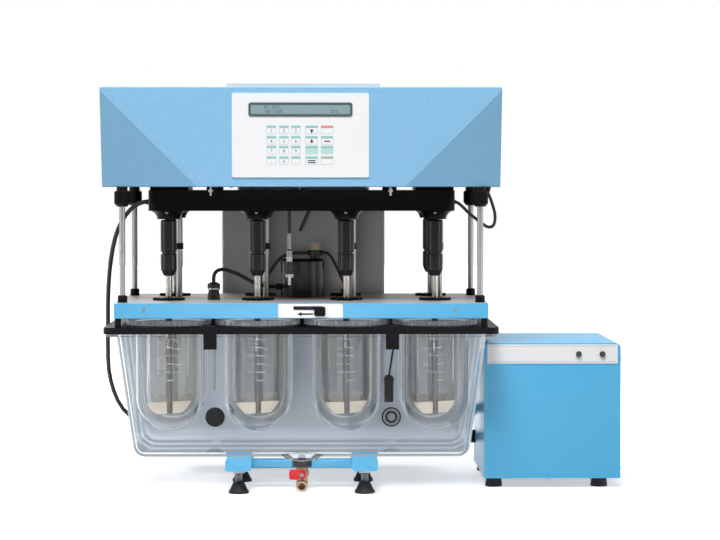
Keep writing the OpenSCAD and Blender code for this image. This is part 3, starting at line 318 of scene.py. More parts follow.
# Clear polycarbonate shows mostly by its edges: where a wall is seen edge on, a painted glow makes it look
# white. The rear wall is frosted, more so towards its foot, and has a faint painted glow, brightest as a
# painted highlight along the bend at its foot. Shadow rays pass through.
FROST_Y, FOOT_Z, THIN_Z = 80, 60, 170
FROST_IN_FRONT, FROST_AT_FOOT, FROST_ABOVE = 0.006, 0.92, 0.72
BEND_LOW, BEND_HIGH, BEND_GLOW, SHEET_GLOW = 64, 78, 0.3, 0.075
TUB_EDGE_FALL, TUB_EDGE_GLOW, TUB_IOR = 4.0, 0.3, 1.13
HAZE_MM = 111.11
tub = bpy.data.materials.new("clear_polycarbonate_with_painted_glow")
tub.use_nodes = True
tree = tub.node_tree
tree.nodes.clear()
place = add(tree, "ShaderNodeTexCoord").outputs["Object"]
haze = add(tree, "ShaderNodeTexNoise", {"Scale": 1 / (HAZE_MM * MM), "Detail": 2.0}, {"Vector": place})
facing = add(tree, "ShaderNodeLayerWeight", {"Blend": 0.3})
face_tint = add(tree, "ShaderNodeMix", {"data_type": "RGBA", 6: linear("#F3F5F7"), 7: linear("#EEF1F4")},
                {0: haze.outputs[0]})
wall_tint = add(tree, "ShaderNodeMix", {"data_type": "RGBA", 7: linear("#EDF1F5")},
                {0: facing.outputs["Facing"], 6: face_tint.outputs[2]})
rays = add(tree, "ShaderNodeLightPath")
lit_tint = add(tree, "ShaderNodeMix", {"data_type": "RGBA", 7: WHITE},
               {0: rays.outputs["Is Shadow Ray"], 6: wall_tint.outputs[2]})
through = add(tree, "ShaderNodeBsdfTransparent", links={"Color": lit_tint.outputs[2]})
milk = add(tree, "ShaderNodeBsdfDiffuse", {"Color": linear("#E9ECF1")})
depth = add(tree, "ShaderNodeSeparateXYZ", links={0: place})
behind = add(tree, "ShaderNodeMath", {"operation": "GREATER_THAN", 1: FROST_Y * MM}, {0: depth.outputs["Y"]})
foot = add(tree, "ShaderNodeMapRange",
           {"From Min": FOOT_Z * MM, "From Max": THIN_Z * MM, "To Min": FROST_AT_FOOT, "To Max": FROST_ABOVE},
           {"Value": depth.outputs["Z"]})
frost = add(tree, "ShaderNodeMix", {2: FROST_IN_FRONT}, {0: behind.outputs[0], 3: foot.outputs[0]})
unshaded = add(tree, "ShaderNodeMath", {"operation": "SUBTRACT", 0: 1.0},
               {1: rays.outputs["Is Shadow Ray"]})
milk_share = add(tree, "ShaderNodeMath", {"operation": "MULTIPLY"},
                 {0: frost.outputs[0], 1: unshaded.outputs[0]})
# Painted highlight: the frosted wall glows faintly with light of its own, most at the bend of its foot.
bend = add(tree, "ShaderNodeMapRange",
           {"From Min": BEND_LOW * MM, "From Max": BEND_HIGH * MM, "To Min": BEND_GLOW, "To Max": SHEET_GLOW},
           {"Value": depth.outputs["Z"]})
painted_frost_glow = add(tree, "ShaderNodeEmission", {"Color": linear("#E6EBF2")}, {"Strength": bend.outputs[0]})
frost_and_painted_glow = add(tree, "ShaderNodeAddShader", links={0: milk.outputs[0], 1: painted_frost_glow.outputs[0]})
body_of_wall = add(tree, "ShaderNodeMixShader", links={0: milk_share.outputs[0], 1: through.outputs[0],
                                                       2: frost_and_painted_glow.outputs[0]})
shine = add(tree, "ShaderNodeBsdfGlossy", {"Color": WHITE, "Roughness": 0.05})
bounce = add(tree, "ShaderNodeFresnel", {"IOR": TUB_IOR})
gloss_share = add(tree, "ShaderNodeMath", {"operation": "MULTIPLY"},
                  {0: bounce.outputs[0], 1: unshaded.outputs[0]})
wall = add(tree, "ShaderNodeMixShader", links={0: gloss_share.outputs[0], 1: body_of_wall.outputs[0],
                                               2: shine.outputs[0]})
# Painted glow: walls seen edge on give off a white light of their own.
edge_on = add(tree, "ShaderNodeMath", {"operation": "POWER", 1: TUB_EDGE_FALL},
              {0: facing.outputs["Facing"]})
tub_glow_strength = add(tree, "ShaderNodeMath", {"operation": "MULTIPLY", 1: TUB_EDGE_GLOW},
                 {0: edge_on.outputs[0]})
painted_tub_edge_glow = add(tree, "ShaderNodeEmission", {"Color": linear("#EDF0F3")},
                 {"Strength": tub_glow_strength.outputs[0]})
wall_with_painted_glow = add(tree, "ShaderNodeAddShader", links={0: wall.outputs[0], 1: painted_tub_edge_glow.outputs[0]})
add(tree, "ShaderNodeOutputMaterial", links={"Surface": wall_with_painted_glow.outputs[0]})
dress(tub, "water_tank")

# Moulded ABS is a deep black with little shine. The rings are milky and catch light on their teeth.
black_abs = surface("black_abs", "#08080B", "#0D0D10", 18, 1.1, 0.05, 0.42, Specular_IOR_Level=0.14)
frosted = surface("frosted_centring_ring", "#DCE6EE", "#E8EFF4", 12, 0.9, 0.04, 0.3)
dress(black_abs, "tank_rim", "vessel_plate", "rim_clips", "level_sensor", "hose_fittings")
dress(frosted, "vessel_rings")

# Right port: a bright ring and a hexagon plug hold the heater's supply against the rear wall. Blasted
# nickel plate looks pale and even. The left port is a plain black disc.
PORT_X, PORT_Y, PORT_Z, PORT_LEAN = 145, 122.5, 92.5, 0.133
RING_PROFILE = [(13.6, 0.3), (13.6, -0.9), (13.0, -1.5), (10.6, -1.5), (10.0, -0.9), (10.0, 0.3)]
PLUG_PROFILE = [(7.2, 0.3), (7.2, -2.4), (6.4, -3.2), (4.0, -3.2), (4.0, -1.6), (0.01, -1.6)]
ring = turned(RING_PROFILE, PORT_X, PORT_Y, PORT_Z, "y", 40)
plug = turned(PLUG_PROFILE, PORT_X, PORT_Y, PORT_Z, "y", 6)
points, faces = joined(ring, plug)
nickel = surface("blasted_nickel_plate", "#C3C4C5", "#CFCFCF", 5, 0.6, 0.02, 0.45, Metallic=0.15)
piece("port_ring", ([(x, y + PORT_LEAN * (z - PORT_Z), z) for x, y, z in points], faces), nickel, "root")

# Vessels: blown borosilicate glass with round bottoms and ground flanges, hung in the plate, with
# fired volume marks.

# Blown glass is clear all through, with faint streaks. Its rims and walls seen edge on carry a painted
# glow, and show as white lines.
STREAK_MM, STREAK_DEPTH = 33.33, 0.5
GLASS_EDGE_FALL, GLASS_EDGE_GLOW, GLASS_IOR = 5.0, 1.5, 1.47
glass = bpy.data.materials.new("borosilicate_glass")
glass.use_nodes = True
tree = glass.node_tree
shader = tree.nodes["Principled BSDF"]
place = add(tree, "ShaderNodeTexCoord").outputs["Object"]
streak = add(tree, "ShaderNodeTexNoise", {"Scale": 1 / (STREAK_MM * MM), "Detail": 1.0}, {"Vector": place})
clear = add(tree, "ShaderNodeMix", {"data_type": "RGBA", 6: linear("#F1EFEB"), 7: linear("#F6F4F1")},
            {0: streak.outputs[0]})
wave = add(tree, "ShaderNodeBump", {"Strength": 0.1, "Distance": STREAK_DEPTH * MM},
           {"Height": streak.outputs[0]})
facing = add(tree, "ShaderNodeLayerWeight", {"Blend": 0.35})
# Painted glow: glass seen edge on gives off a white light of its own.
glass_facing_power = add(tree, "ShaderNodeMath", {"operation": "POWER", 1: GLASS_EDGE_FALL},
                {0: facing.outputs["Facing"]})
painted_glass_edge_glow = add(tree, "ShaderNodeMath", {"operation": "MULTIPLY", 1: GLASS_EDGE_GLOW},
                {0: glass_facing_power.outputs[0]})
tree.links.new(painted_glass_edge_glow.outputs[0], shader.inputs["Emission Strength"])
shader.inputs["Emission Color"].default_value = linear("#EAF4FA")
tree.links.new(clear.outputs[2], shader.inputs["Base Color"])
tree.links.new(wave.outputs[0], shader.inputs["Normal"])
for socket, value in (("Transmission Weight", 1.0), ("IOR", GLASS_IOR), ("Roughness", 0.0)):
    shader.inputs[socket].default_value = value
rays = add(tree, "ShaderNodeLightPath")
passing = add(tree, "ShaderNodeBsdfTransparent", {"Color": linear("#F7F9FA")})
cast_light = add(tree, "ShaderNodeMixShader", links={0: rays.outputs["Is Shadow Ray"], 1: shader.outputs[0],
                                                     2: passing.outputs[0]})
tree.links.new(cast_light.outputs[0], tree.nodes["Material Output"].inputs["Surface"])
dress(glass, "front_vessels", "rear_vessels")

STATION_PITCH, ROW_GAP, VESSEL_R = 138, 150, 52.5
stations = [(c * STATION_PITCH, r * ROW_GAP) for r in (-0.5, 0.5) for c in (-1.5, -0.5, 0.5, 1.5)]


def figures(text, size, deep, put):
    """Generic digits as solid forms: put(across, up, out) gives the place of each point."""
    curve = bpy.data.curves.new("figures", "FONT")
    curve.body, curve.size, curve.extrude = text, size, deep / 2
    curve.align_x, curve.align_y = "CENTER", "CENTER"
    curve.resolution_u = 3
    thing = bpy.data.objects.new("figures", curve)
    scene.collection.objects.link(thing)
    shape = thing.evaluated_get(bpy.context.evaluated_depsgraph_get()).to_mesh()
    form = [put(*v.co) for v in shape.vertices], [tuple(p.vertices) for p in shape.polygons]
    bpy.data.objects.remove(thing)
    bpy.data.curves.remove(curve)
    return form


def around(x, y, r, lean):
    """Places a drawing on the front of an upright cylinder, turned by an angle to its right."""
    def put(u, v, w, z=0):
        turn = u / r + lean
        return x + (r + w) * math.sin(turn), y - (r + w) * math.cos(turn), z + v
    return put


def bar_round(x, y, r, lean, l, h, z, t=0.25, steps=6):
    """A thin printed bar that lies round an upright cylinder."""
    put = around(x, y, r, lean)
    points, faces = [], []
    for k in range(steps + 1):
        u = -l / 2 + l * k / steps
        points += [put(u, z + side * h / 2, out) for side, out in ((-1, 0), (1, 0), (1, t), (-1, t))]
        if k:
            a, b = 4 * k - 4, 4 * k
            faces += [(a + i, a + (i + 1) % 4, b + (i + 1) % 4, b + i) for i in range(4)]
    return points, faces + [(0, 1, 2, 3), tuple(range(4 * steps, 4 * steps + 4))]


# Fired enamel is an opaque white that stands a little out of the glass.
enamel = surface("white_fired_enamel", "#F1F1EE", "#F8F8F6", 6, 0.8, 0.02, 0.4)
MARK_LOW, MARK_STEP, MARKS, FIRST_VOLUME = 174, 12.7, 6, 400
LONG_MARK, SHORT_MARK, MARK_H, MARK_LEAN = 15, 9, 1.3, 0.1
FIGURE_SIZE, FIGURE_T, FIGURE_LEAN = 7, 0.3, -0.19
for i, (x, y) in enumerate(stations, 1):
    marks = []
    for k in range(MARKS):
        z = MARK_LOW + MARK_STEP * k
        marks.append(bar_round(x, y, VESSEL_R, MARK_LEAN, LONG_MARK if k % 2 else SHORT_MARK, MARK_H, z))
        if k % 2:
            put = around(x, y, VESSEL_R, FIGURE_LEAN)
            marks.append(figures(str(FIRST_VOLUME + 100 * k), FIGURE_SIZE, FIGURE_T,
                                 lambda u, v, w: put(u, v, w + FIGURE_T / 2, z)))
    piece(f"volume_marks_{i}", joined(*marks), enamel, "root", 30)

# Drain: a turned brass valve under the tank's sump, with a dark nut above it and a red dipped
# handle across its stem.


def change_where(finish, mask, colour, rough, metal):
    """Where a mask is 1, the finish turns to another colour, gloss and metal."""
    tree = finish.node_tree
    shader = tree.nodes["Principled BSDF"]
    for socket, kind, key, value in (
            ("Base Color", "RGBA", 7, linear(colour)), ("Roughness", "FLOAT", 3, rough),
            ("Metallic", "FLOAT", 3, metal)):
        entry = shader.inputs[socket]
        mixed = add(tree, "ShaderNodeMix", {"data_type": kind, key: value}, {0: mask})
        if entry.links:
            tree.links.new(entry.links[0].from_socket, mixed.inputs[key - 1])
        else:
            mixed.inputs[key - 1].default_value = entry.default_value
        tree.links.new(mixed.outputs[2 if kind == "RGBA" else 0], entry)


def change_above(finish, height, colour, rough, metal):
    """Above a height in mm, the finish turns to another colour, gloss and metal."""
    tree = finish.node_tree
    place = add(tree, "ShaderNodeTexCoord").outputs["Object"]
    z = add(tree, "ShaderNodeSeparateXYZ", links={0: place}).outputs["Z"]
    above = add(tree, "ShaderNodeMath", {"operation": "GREATER_THAN", 1: height * MM}, {0: z}).outputs[0]
    change_where(finish, above, colour, rough, metal)


# Turned brass is warm and softly bright, with a nearly black nut above it. Dipped vinyl is an even red
# with a low sheen.
NUT_LOW, STEM_FACE, STEM_Z = 37, -118, 27
HANDLE_NUT = [(0.01, -0.5), (3.4, -0.5), (3.4, -2.6), (2.8, -3.2), (0.01, -3.2)]
brass = surface("turned_brass_under_dark_nut", "#B99C7C", "#CBAE8B", 5, 0.5, 0.02, 0.35, Metallic=0.3)
change_above(brass, NUT_LOW, "#3A3B3F", 0.4, 0.6)
red_grip = surface("red_dipped_vinyl", "#DB1E2A", "#E22A35", 8, 0.7, 0.03, 0.35, Specular_IOR_Level=0.25)
dress(brass, "drain_valve")
dress(red_grip, "drain_handle", bevel=0.8)
piece("handle_nut", turned(HANDLE_NUT, 0, STEM_FACE, STEM_Z, "y", 6), zinc, "tap")

# Heater: a folded case in the same blue coat beside the bath, with a white strip along its top
# edge that holds two lamps. Screws close its floor, and slots in its back let the warm air out; the
# slots are drawn as dark patches of painted shade.


def rounded(u, v, l, h, r, steps=4):
    """The outline of a rectangle with round corners about a middle."""
    half_l, half_h = l / 2 - r, h / 2 - r
    corners = ((half_l, half_h, 0), (-half_l, half_h, 90), (-half_l, -half_h, 180), (half_l, -half_h, 270))
    return [(u + a + r * math.cos(math.radians(turn + 90 * k / steps)),
             v + b + r * math.sin(math.radians(turn + 90 * k / steps)))
            for a, b, turn in corners for k in range(steps + 1)]


def prism(outline, near, far, axis="y"):
    """A flat form with an outline, from a near to a far level along an axis."""
    count = len(outline)
    points = [{"y": (u, level, v), "z": (u, v, level), "x": (level, u, v)}[axis]
              for level in (near, far) for u, v in outline]
    faces = [tuple(range(count)), tuple(range(count, 2 * count))]
    faces += [(i, (i + 1) % count, count + (i + 1) % count, count + i) for i in range(count)]
    return points, faces


# Polyester film is a bright, even white. Unlit lamp lenses are dark and glossy. Print is matt. The grain
# of film, lenses and print is far under 1 mm, and is drawn at about 1 mm to show.
white_film = surface("white_polyester_film", "#F3F4F6", "#F6F7F9", 30, 1.0, 0.02, 0.4)
lens = surface("dark_lamp_bezel", "#15171A", "#1D1F22", 20, 1.0, 0.01, 0.2)
green_lens = surface("green_lamp_lens", "#24402F", "#2B4A36", 4, 0.8, 0.01, 0.1)
red_lens = surface("red_lamp_lens", "#4A2226", "#54282B", 4, 0.8, 0.01, 0.1)
print_grey = surface("grey_screen_print", "#A9B2B8", "#B2BABF", 10, 0.8, 0.01, 0.45)
# Vent slots are thin dark patches: painted shade in place of open holes.
slot_shade_paint = surface("slot_painted_shade", "#0B0C0E", "#101114", 10, 0.8, 0.02, 0.7)
dress(blue_paint, "heater_case", bevel=0.6)
dress(white_film, "heater_panel", bevel=0.3)
dress(lens, "heater_lamps")
LAMP_Z, LAMP_FACE, LAMP_R, LAMP_RISE = 210, -75, 3.1, 1.6
for name, x, finish in (("power_lamp", 432.5, green_lens), ("heat_lamp", 469.5, red_lens)):
    dome = [(LAMP_R, 0.3)] + [(LAMP_R * math.cos(math.radians(a)), -LAMP_RISE * math.sin(math.radians(a)))
                              for a in (0, 25, 50, 75, 89)]
    piece(name, turned(dome, x, LAMP_FACE, LAMP_Z, "y", 20), finish, "root", 60)
LINE_MID, LINE_L, LINE_FACE, LINE_ROWS = 391.5, 198, -71, (197.6, 222.4)
piece("heater_strip_line", joined(*(
    prism(rounded(LINE_MID, z, LINE_L, 0.7, 0.3), LINE_FACE, LINE_FACE - 0.15) for z in LINE_ROWS)),
    print_grey, "root")
HEATER_BACK, HEATER_SIDE, HEATER_FLOOR = 180, 498.5, 15
SLOT_X, SLOT_PITCH, SLOTS, SLOT_Z, SLOT_W, SLOT_H = 340, 8, 13, 150, 3.4, 60
# Painted shade: each slot in the heater's back is a dark patch on its surface.
piece("heater_vents", joined(*(
    prism(rounded(SLOT_X + SLOT_PITCH * i, SLOT_Z, SLOT_W, SLOT_H, 1.6), HEATER_BACK - 0.2, HEATER_BACK + 0.3)
    for i in range(SLOTS))), slot_shade_paint, "root")
piece("heater_screws", joined(
    *(screw_head(x, -60, HEATER_FLOOR, 3.5, "z") for x in (326, 388, 452)),
    *(screw_head(x, HEATER_BACK, z, out=1) for x in (294, 489) for z in (28, 214)),
    *(screw_head(HEATER_SIDE, y, z, 3.2, "x", 1) for y in (-55, 165) for z in (30, 200))), zinc, "root")

# Mains inlets: a black moulded inlet with three plated pins in the back of the column and of
# the heater. Two screws hold each flange.
FLANGE, COLLAR, MOUTH, PIN = (50, 24, 3), (29, 21, 3), (25, 17, 2), (2, 5, 0.6)


def inlet(x, y, z):
    """The flange of an inlet with its raised collar, and its pins and screws."""
    flange = prism(rounded(x, z, *FLANGE), y - 0.3, y + 2.2)
    outer, inner = rounded(x, z, *COLLAR), rounded(x, z, *MOUTH)
    count = len(outer)
    levels = ((outer, y + 2), (outer, y + 5), (inner, y + 5), (inner, y + 2.1))
    points = [(u, level, v) for outline, level in levels for u, v in outline]
    faces = []
    for i in range(len(levels) - 1):
        for k in range(count):
            a, b = i * count + k, i * count + (k + 1) % count
            faces.append((a, b, b + count, a + count))
    pins = [prism(rounded(x + u, z + v, *PIN), y + 2, y + 4.6) for u, v in ((-6, -2), (0, 3), (6, -2))]
    screws = [screw_head(x + u, y + 2.2, z, 2.6, out=1) for u in (-20, 20)]
    return joined(flange, (points, faces)), joined(*pins, *screws)


for name, place in (("column_inlet", (70, COLUMN_BACK, 105)), ("heater_inlet", (440, HEATER_BACK, 60))):
    moulding, metal_parts = inlet(*place)
    piece(name, moulding, black_abs, "root")
    piece(name + "_pins", metal_parts, zinc, "root")

# Head: a folded sheet cover with slanting front corners in a fine textured light blue paint. Screws
# hold it to its base plate from the sides.

# Textured paint is matt with a soft mottle of light. Its grain, about 1 mm, is drawn at 2.2 mm to show.
head_paint = surface("textured_light_blue_paint", "#7CB8E2", "#99C9E9", 3.2, 2.2, 0.12, 0.45,
                     Specular_IOR_Level=0.25)
dress(head_paint, "head_cover", bevel=1.5)
HEAD_SIDE, HEAD_SCREW_Z, HEAD_SCREW_ROWS = 304, 478, (-90, 20, 130)
piece("head_screws", joined(*(screw_head(side * HEAD_SIDE, y, HEAD_SCREW_Z, 3.2, "x", side)
                              for side in (-1, 1) for y in HEAD_SCREW_ROWS)), zinc, "head")
# Painted shade: the head's vents are dark patches on its sides, in place of open holes.
VENT_Y, VENT_PITCH, VENTS, VENT_Z, VENT_W, VENT_H = 45, 9, 10, 600, 4, 24
vents = []
for side in (-1, 1):
    for i in range(VENTS):
        outline = rounded(VENT_Y + VENT_PITCH * i, VENT_Z, VENT_W, VENT_H, 1.9)
        vents.append(prism(outline, side * HEAD_SIDE - 0.2, side * HEAD_SIDE + 0.3, "x"))
piece("head_vents", joined(*vents), slot_shade_paint, "head")

# Key panel: a white printed film with twenty keys under a display. Each key has a tinted caption
# strip over a thin outline, and the number keys carry their digit.
FILM_Y, KEY_W, WIDE_KEY_W, KEY_H, KEY_BORDER = -176.5, 14.2, 18.8, 9.5, 1.2
KEY_COLUMNS = (-44.9, -26.0, -8.0, 16.0, 39.2)
KEY_ROWS = (557.2, 541.5, 526.7, 510.9)
KEY_DROP, CAPTION_UP, CAPTION_H, DIGIT_SIZE = 1.6, 4.6, 3.4, 6.5
OUTLINE_T, CAPTION_T, FACE_T = 0.15, 0.2, 0.25
INK_LOW, INK_HIGH = FILM_Y - 0.2, FILM_Y - 0.4
DOWN_ARROW = [(0, -3.0), (3.2, 0.2), (1.2, 0.2), (1.2, 3.0), (-1.2, 3.0), (-1.2, 0.2), (-3.2, 0.2)]
dress(white_film, "keypad_panel", bevel=0.3)
# Screen print is thin, even and matt. Each layer stands a little higher than the one that it covers.
key_outline = surface("key_outline_print", "#B9C6C8", "#C2CDCF", 10, 0.8, 0.01, 0.45)
caption_teal = surface("teal_caption_print", "#8CC6C4", "#97CCCA", 6, 0.8, 0.01, 0.45)
caption_red = surface("red_caption_print", "#DE7F86", "#E28A90", 6, 0.8, 0.01, 0.45)
caption_green = surface("green_caption_print", "#A3B79F", "#ABBDA7", 6, 0.8, 0.01, 0.45)
pale_key = surface("pale_teal_key_print", "#B9E0DB", "#C2E4E0", 8, 0.8, 0.01, 0.45)
ink = surface("dark_screen_print", "#262C30", "#30363A", 8, 0.8, 0.01, 0.45)
prints = {"key_outlines": (key_outline, []), "key_faces": (white_film, []),
          "key_captions": (caption_teal, []), "stop_caption": (caption_red, []),
          "start_caption": (caption_green, []), "pale_keys": (pale_key, []), "key_figures": (ink, [])}
digits = ("123", "456", "789", ".0-")
signs = prints["key_figures"][1]
for row, z in enumerate(KEY_ROWS):
    for column, x in enumerate(KEY_COLUMNS):
        w, mid = KEY_W if column < 3 else WIDE_KEY_W, z - KEY_DROP
        prints["key_outlines"][1].append(prism(rounded(x, mid, w, KEY_H, 1.3), FILM_Y, FILM_Y - OUTLINE_T))
        face = "pale_keys" if column > 2 and row == 2 else "key_faces"
        outline = rounded(x, mid, w - KEY_BORDER, KEY_H - KEY_BORDER, 0.9)
        prints[face][1].append(prism(outline, FILM_Y, FILM_Y - FACE_T))
        strip = {(0, 4): "stop_caption", (3, 4): "start_caption"}.get((row, column), "key_captions")
        outline = rounded(x, z + CAPTION_UP, w, CAPTION_H, 0.6)
        prints[strip][1].append(prism(outline, FILM_Y, FILM_Y - CAPTION_T))
        if column < 3:
            put = lambda u, v, out, x=x, mid=mid: (x + u, FILM_Y - 0.35 - out, mid + v)
            signs.append(figures(digits[row][column], DIGIT_SIZE, 0.2, put))
        elif column == 3 and row < 2:
            turn = 1 if row else -1
            signs.append(prism([(x + u, mid + turn * v) for u, v in DOWN_ARROW], INK_LOW, INK_HIGH))
        elif column == 3 and row == 3:
            for dz in (-3.2, -0.2):
                signs.append(prism(rounded(x, z + dz, 12, 1.6, 0.3), INK_LOW, INK_HIGH))
        elif row == 1:
            signs.append(prism(rounded(x, mid, 9, 1.8, 0.4), INK_LOW, INK_HIGH))
for name, (finish, forms) in prints.items():
    piece(name, joined(*forms), finish, "head")

# The frame is dull dark plastic. The crystal under its glossy window is a grey green, with darker digits.
bezel = surface("dark_display_frame", "#4E5A5E", "#566266", 12, 0.8, 0.02, 0.35)
crystal = surface("liquid_crystal_window", "#8BA6AC", "#93ADB2", 25, 3.0, 0.01, 0.18)
lcd_ink = surface("liquid_crystal_digits", "#3E4C50", "#465458", 8, 0.8, 0.01, 0.3)
dress(bezel, "display")
LCD_X, LCD_Z, LCD_L, LCD_H, LCD_FACE, LCD_FIGURE = -1, 587.9, 150, 14.2, -176.75, 6.4
LCD_LINES = (("50   37.0", -45, 591.2), ("100  12:00", -42, 584.6), ("37.0", 50, 584.6))
piece("display_window", prism(rounded(LCD_X, LCD_Z, LCD_L, LCD_H, 1.5), LCD_FACE, LCD_FACE - 0.25),
      crystal, "head")
lines = []
for text, x, z in LCD_LINES:
    put = lambda u, v, out, x=x, z=z: (x + u, LCD_FACE - 0.3 - out, z + v)
    lines.append(figures(text, LCD_FIGURE, 0.1, put))
piece("display_digits", joined(*lines), lcd_ink, "head")

# Belt drive: a black anodised housing with a bell boss at each station, the chucks that hang from
# them, and steel paddle shafts through cream blades. Bright set screws lock the bosses.

# Anodising is a deep black with little shine, and the turned chucks are a little glossier.
anodised = surface("black_anodised_aluminium", "#040406", "#060608", 14, 0.6, 0.02, 0.34,
                   Specular_IOR_Level=0.08)
chuck_black = surface("black_anodised_chuck", "#0E0F12", "#15161A", 8, 0.5, 0.02, 0.24,
                      Specular_IOR_Level=0.35)
dress(anodised, "belt_housing", bevel=0.6)
dress(rubber, "timing_belt")
dress(chuck_black, *(f"spindle_{i}" for i in range(1, 9)))
# The blades are a matt cream. Below the tray the polished shaft is painted dark, a painted reflection of
# the dark bath, and this painted dark line runs on through the blade too.
BLADE_TOP, TRAY_UNDER, SHAFT_EDGE, SHAFT_PAINTED_REFLECTION = 140, 270, 5.3, "#6B645C"
paddle_steel = surface("cream_blade_on_steel_shaft", "#FBEAD0", "#FDF0DC", 12, 0.8, 0.03, 0.5)
# Painted reflection: between the blade and the tray the shaft takes a dark colour.
change_above(paddle_steel, BLADE_TOP, SHAFT_PAINTED_REFLECTION, 0.3, 1.0)
tree = paddle_steel.node_tree
place = add(tree, "ShaderNodeTexCoord").outputs["Object"]
own = add(tree, "ShaderNodeSeparateXYZ", links={0: place})
half_pitch, half_gap = STATION_PITCH / 2, ROW_GAP / 2
from_shaft = add(tree, "ShaderNodeMath", {"operation": "SUBTRACT", 1: (TESTER_X + half_pitch) * MM},
                 {0: own.outputs["X"]})
across = add(tree, "ShaderNodeMath", {"operation": "WRAP", 1: half_pitch * MM, 2: -half_pitch * MM},
             {0: from_shaft.outputs[0]})
from_mid = add(tree, "ShaderNodeMath", {"operation": "SUBTRACT", 1: TESTER_Y * MM}, {0: own.outputs["Y"]})
row = add(tree, "ShaderNodeMath", {"operation": "ABSOLUTE"}, {0: from_mid.outputs[0]})
along = add(tree, "ShaderNodeMath", {"operation": "SUBTRACT", 1: half_gap * MM}, {0: row.outputs[0]})
offset = add(tree, "ShaderNodeCombineXYZ", links={"X": across.outputs[0], "Y": along.outputs[0]})
reach = add(tree, "ShaderNodeVectorMath", {"operation": "LENGTH"}, {0: offset.outputs[0]})
on_shaft = add(tree, "ShaderNodeMath", {"operation": "LESS_THAN", 1: SHAFT_EDGE * MM},
               {0: reach.outputs["Value"]})
# Painted reflection: the same dark colour where the shaft runs through the blade.
change_where(paddle_steel, on_shaft.outputs[0], SHAFT_PAINTED_REFLECTION, 0.3, 1.0)
change_above(paddle_steel, TRAY_UNDER, "#B5B2AC", 0.25, 1.0)
dress(paddle_steel, *(f"paddle_{i}" for i in range(1, 9)))
BOSS_SCREW_Z, BOSS_SCREW_R, HOUSING_FRONT = 431.5, 23.0, -103
piece("boss_screws", joined(*(screw_head(x - 1, y - BOSS_SCREW_R, BOSS_SCREW_Z, 2.3) for x, y in stations)),
      zinc, "head")
HANGER_ROWS, HANGER_Y, BOLT_ROWS, PLATE_UNDER = (-140, 137), HOUSING_FRONT - 5, (-108, -3, 101), 471
HANGER_ROD = [(0.01, 470.6), (1.7, 470.6), (1.7, 459), (1.2, 457.5), (0.01, 457.5)]
HANGER_NUT = [(3.2, 463), (3.7, 463.6), (3.7, 466.6), (3.2, 467.2)]
hangers = []
for x in HANGER_ROWS:
    hangers.append(turned(HANGER_ROD, x, HANGER_Y, 0, sides=16))
    hangers.append(turned(HANGER_NUT, x, HANGER_Y, 0, sides=6))
hangers += [screw_head(x, HOUSING_FRONT - 3, PLATE_UNDER, 2.6, "z") for x in BOLT_ROWS]
piece("housing_bolts", joined(*hangers), zinc, "head")

# Lid tray: a folded aluminium tray that hangs on four steel rods below the head, with a blue front
# strip, black knobs and notched shaft covers, and the white plate of the drop lever.

# Blasted sheet scatters the light, so that it looks an even pale grey with no mirror in it.
tray_metal = surface("satin_tray_sheet", "#9D9C9C", "#A5A4A4", 40, 0.9, 0.02, 0.4)
dress(tray_metal, "lid_tray")
dress(blue_paint, "tray_fascia", bevel=0.5)
dress(white_film, "lever_plate")
dress(steel, "guide_rods")
dress(black_abs, "rod_fittings", "shaft_covers", "drop_shutter")
FASCIA_Y, FASCIA_MID, FASCIA_SCREWS, PLATE_Y = -175, 285.6, (-238.5, 234), -176
DROP_ARROW = [(-6.4, 278.6), (0.4, 275.4), (0.4, 277.4), (17.8, 277.4), (17.8, 279.8), (0.4, 279.8),
              (0.4, 281.8)]
piece("fascia_screws", joined(*(screw_head(x, FASCIA_Y, FASCIA_MID, 2.8) for x in FASCIA_SCREWS)),
      zinc, "head")
piece("drop_arrow", prism(DROP_ARROW, PLATE_Y, PLATE_Y - 0.2), ink, "head")

# Sensors: a black moulded pod with a brass union, and two probes with steel sheaths in black
# glands. The temperature probe ends in a white tip.

# The pod is a glossy black with a warm metal union on top. Steel sheaths are bright and smooth, and their
# glands matt black.
UNION_LOW = 370
pod_black = surface("black_moulded_pod", "#0A0A0C", "#0F0F12", 16, 1.0, 0.04, 0.26, Specular_IOR_Level=0.5)
change_above(pod_black, UNION_LOW, "#8C7E68", 0.35, 0.7)
dress(pod_black, "sensor_pod")
SENSOR_BANDS = ((295, "#17171A", 0.4, 0.0), (310.5, "#B4B6B8", 0.28, 1.0), (313, "#17171A", 0.4, 0.0))
PROBE_BANDS = ((334, "#3A3D42", 0.35, 0.5), (354, "#C9CBCC", 0.2, 1.0), (361, "#9CA4AA", 0.25, 1.0),
               (398, "#101114", 0.4, 0.0))
probe_finish = surface("steel_sheath_and_gland", "#A9A7A3", "#B9B7B3", 10, 0.5, 0.01, 0.25, Metallic=1.0)
for band in SENSOR_BANDS:
    change_above(probe_finish, *band)
dress(probe_finish, "bath_sensor")
rod_finish = surface("probe_with_white_tip", "#E6E4DE", "#EFEDE8", 10, 0.5, 0.01, 0.35)
for band in PROBE_BANDS:
    change_above(rod_finish, *band)
dress(rod_finish, "temperature_probe")

# Leads and hoses: rubber-sheathed cables and tubes, each one length that hangs between its two
# glands. Clamps hold the hoses.


def spline(route, steps):
    """The smooth path through a route's points."""
    path = []
    for i in range(len(route) - 1):
        a, b, c, d = (Vector(route[min(max(i + k, 0), len(route) - 1)]) for k in (-1, 0, 1, 2))
        for k in range(steps):
            t = k / steps
            path.append(0.5 * (2 * b + (c - a) * t + (2 * a - 5 * b + 4 * c - d) * t ** 2
                               + (3 * b - a - 3 * c + d) * t ** 3))
    return path + [Vector(route[-1])]


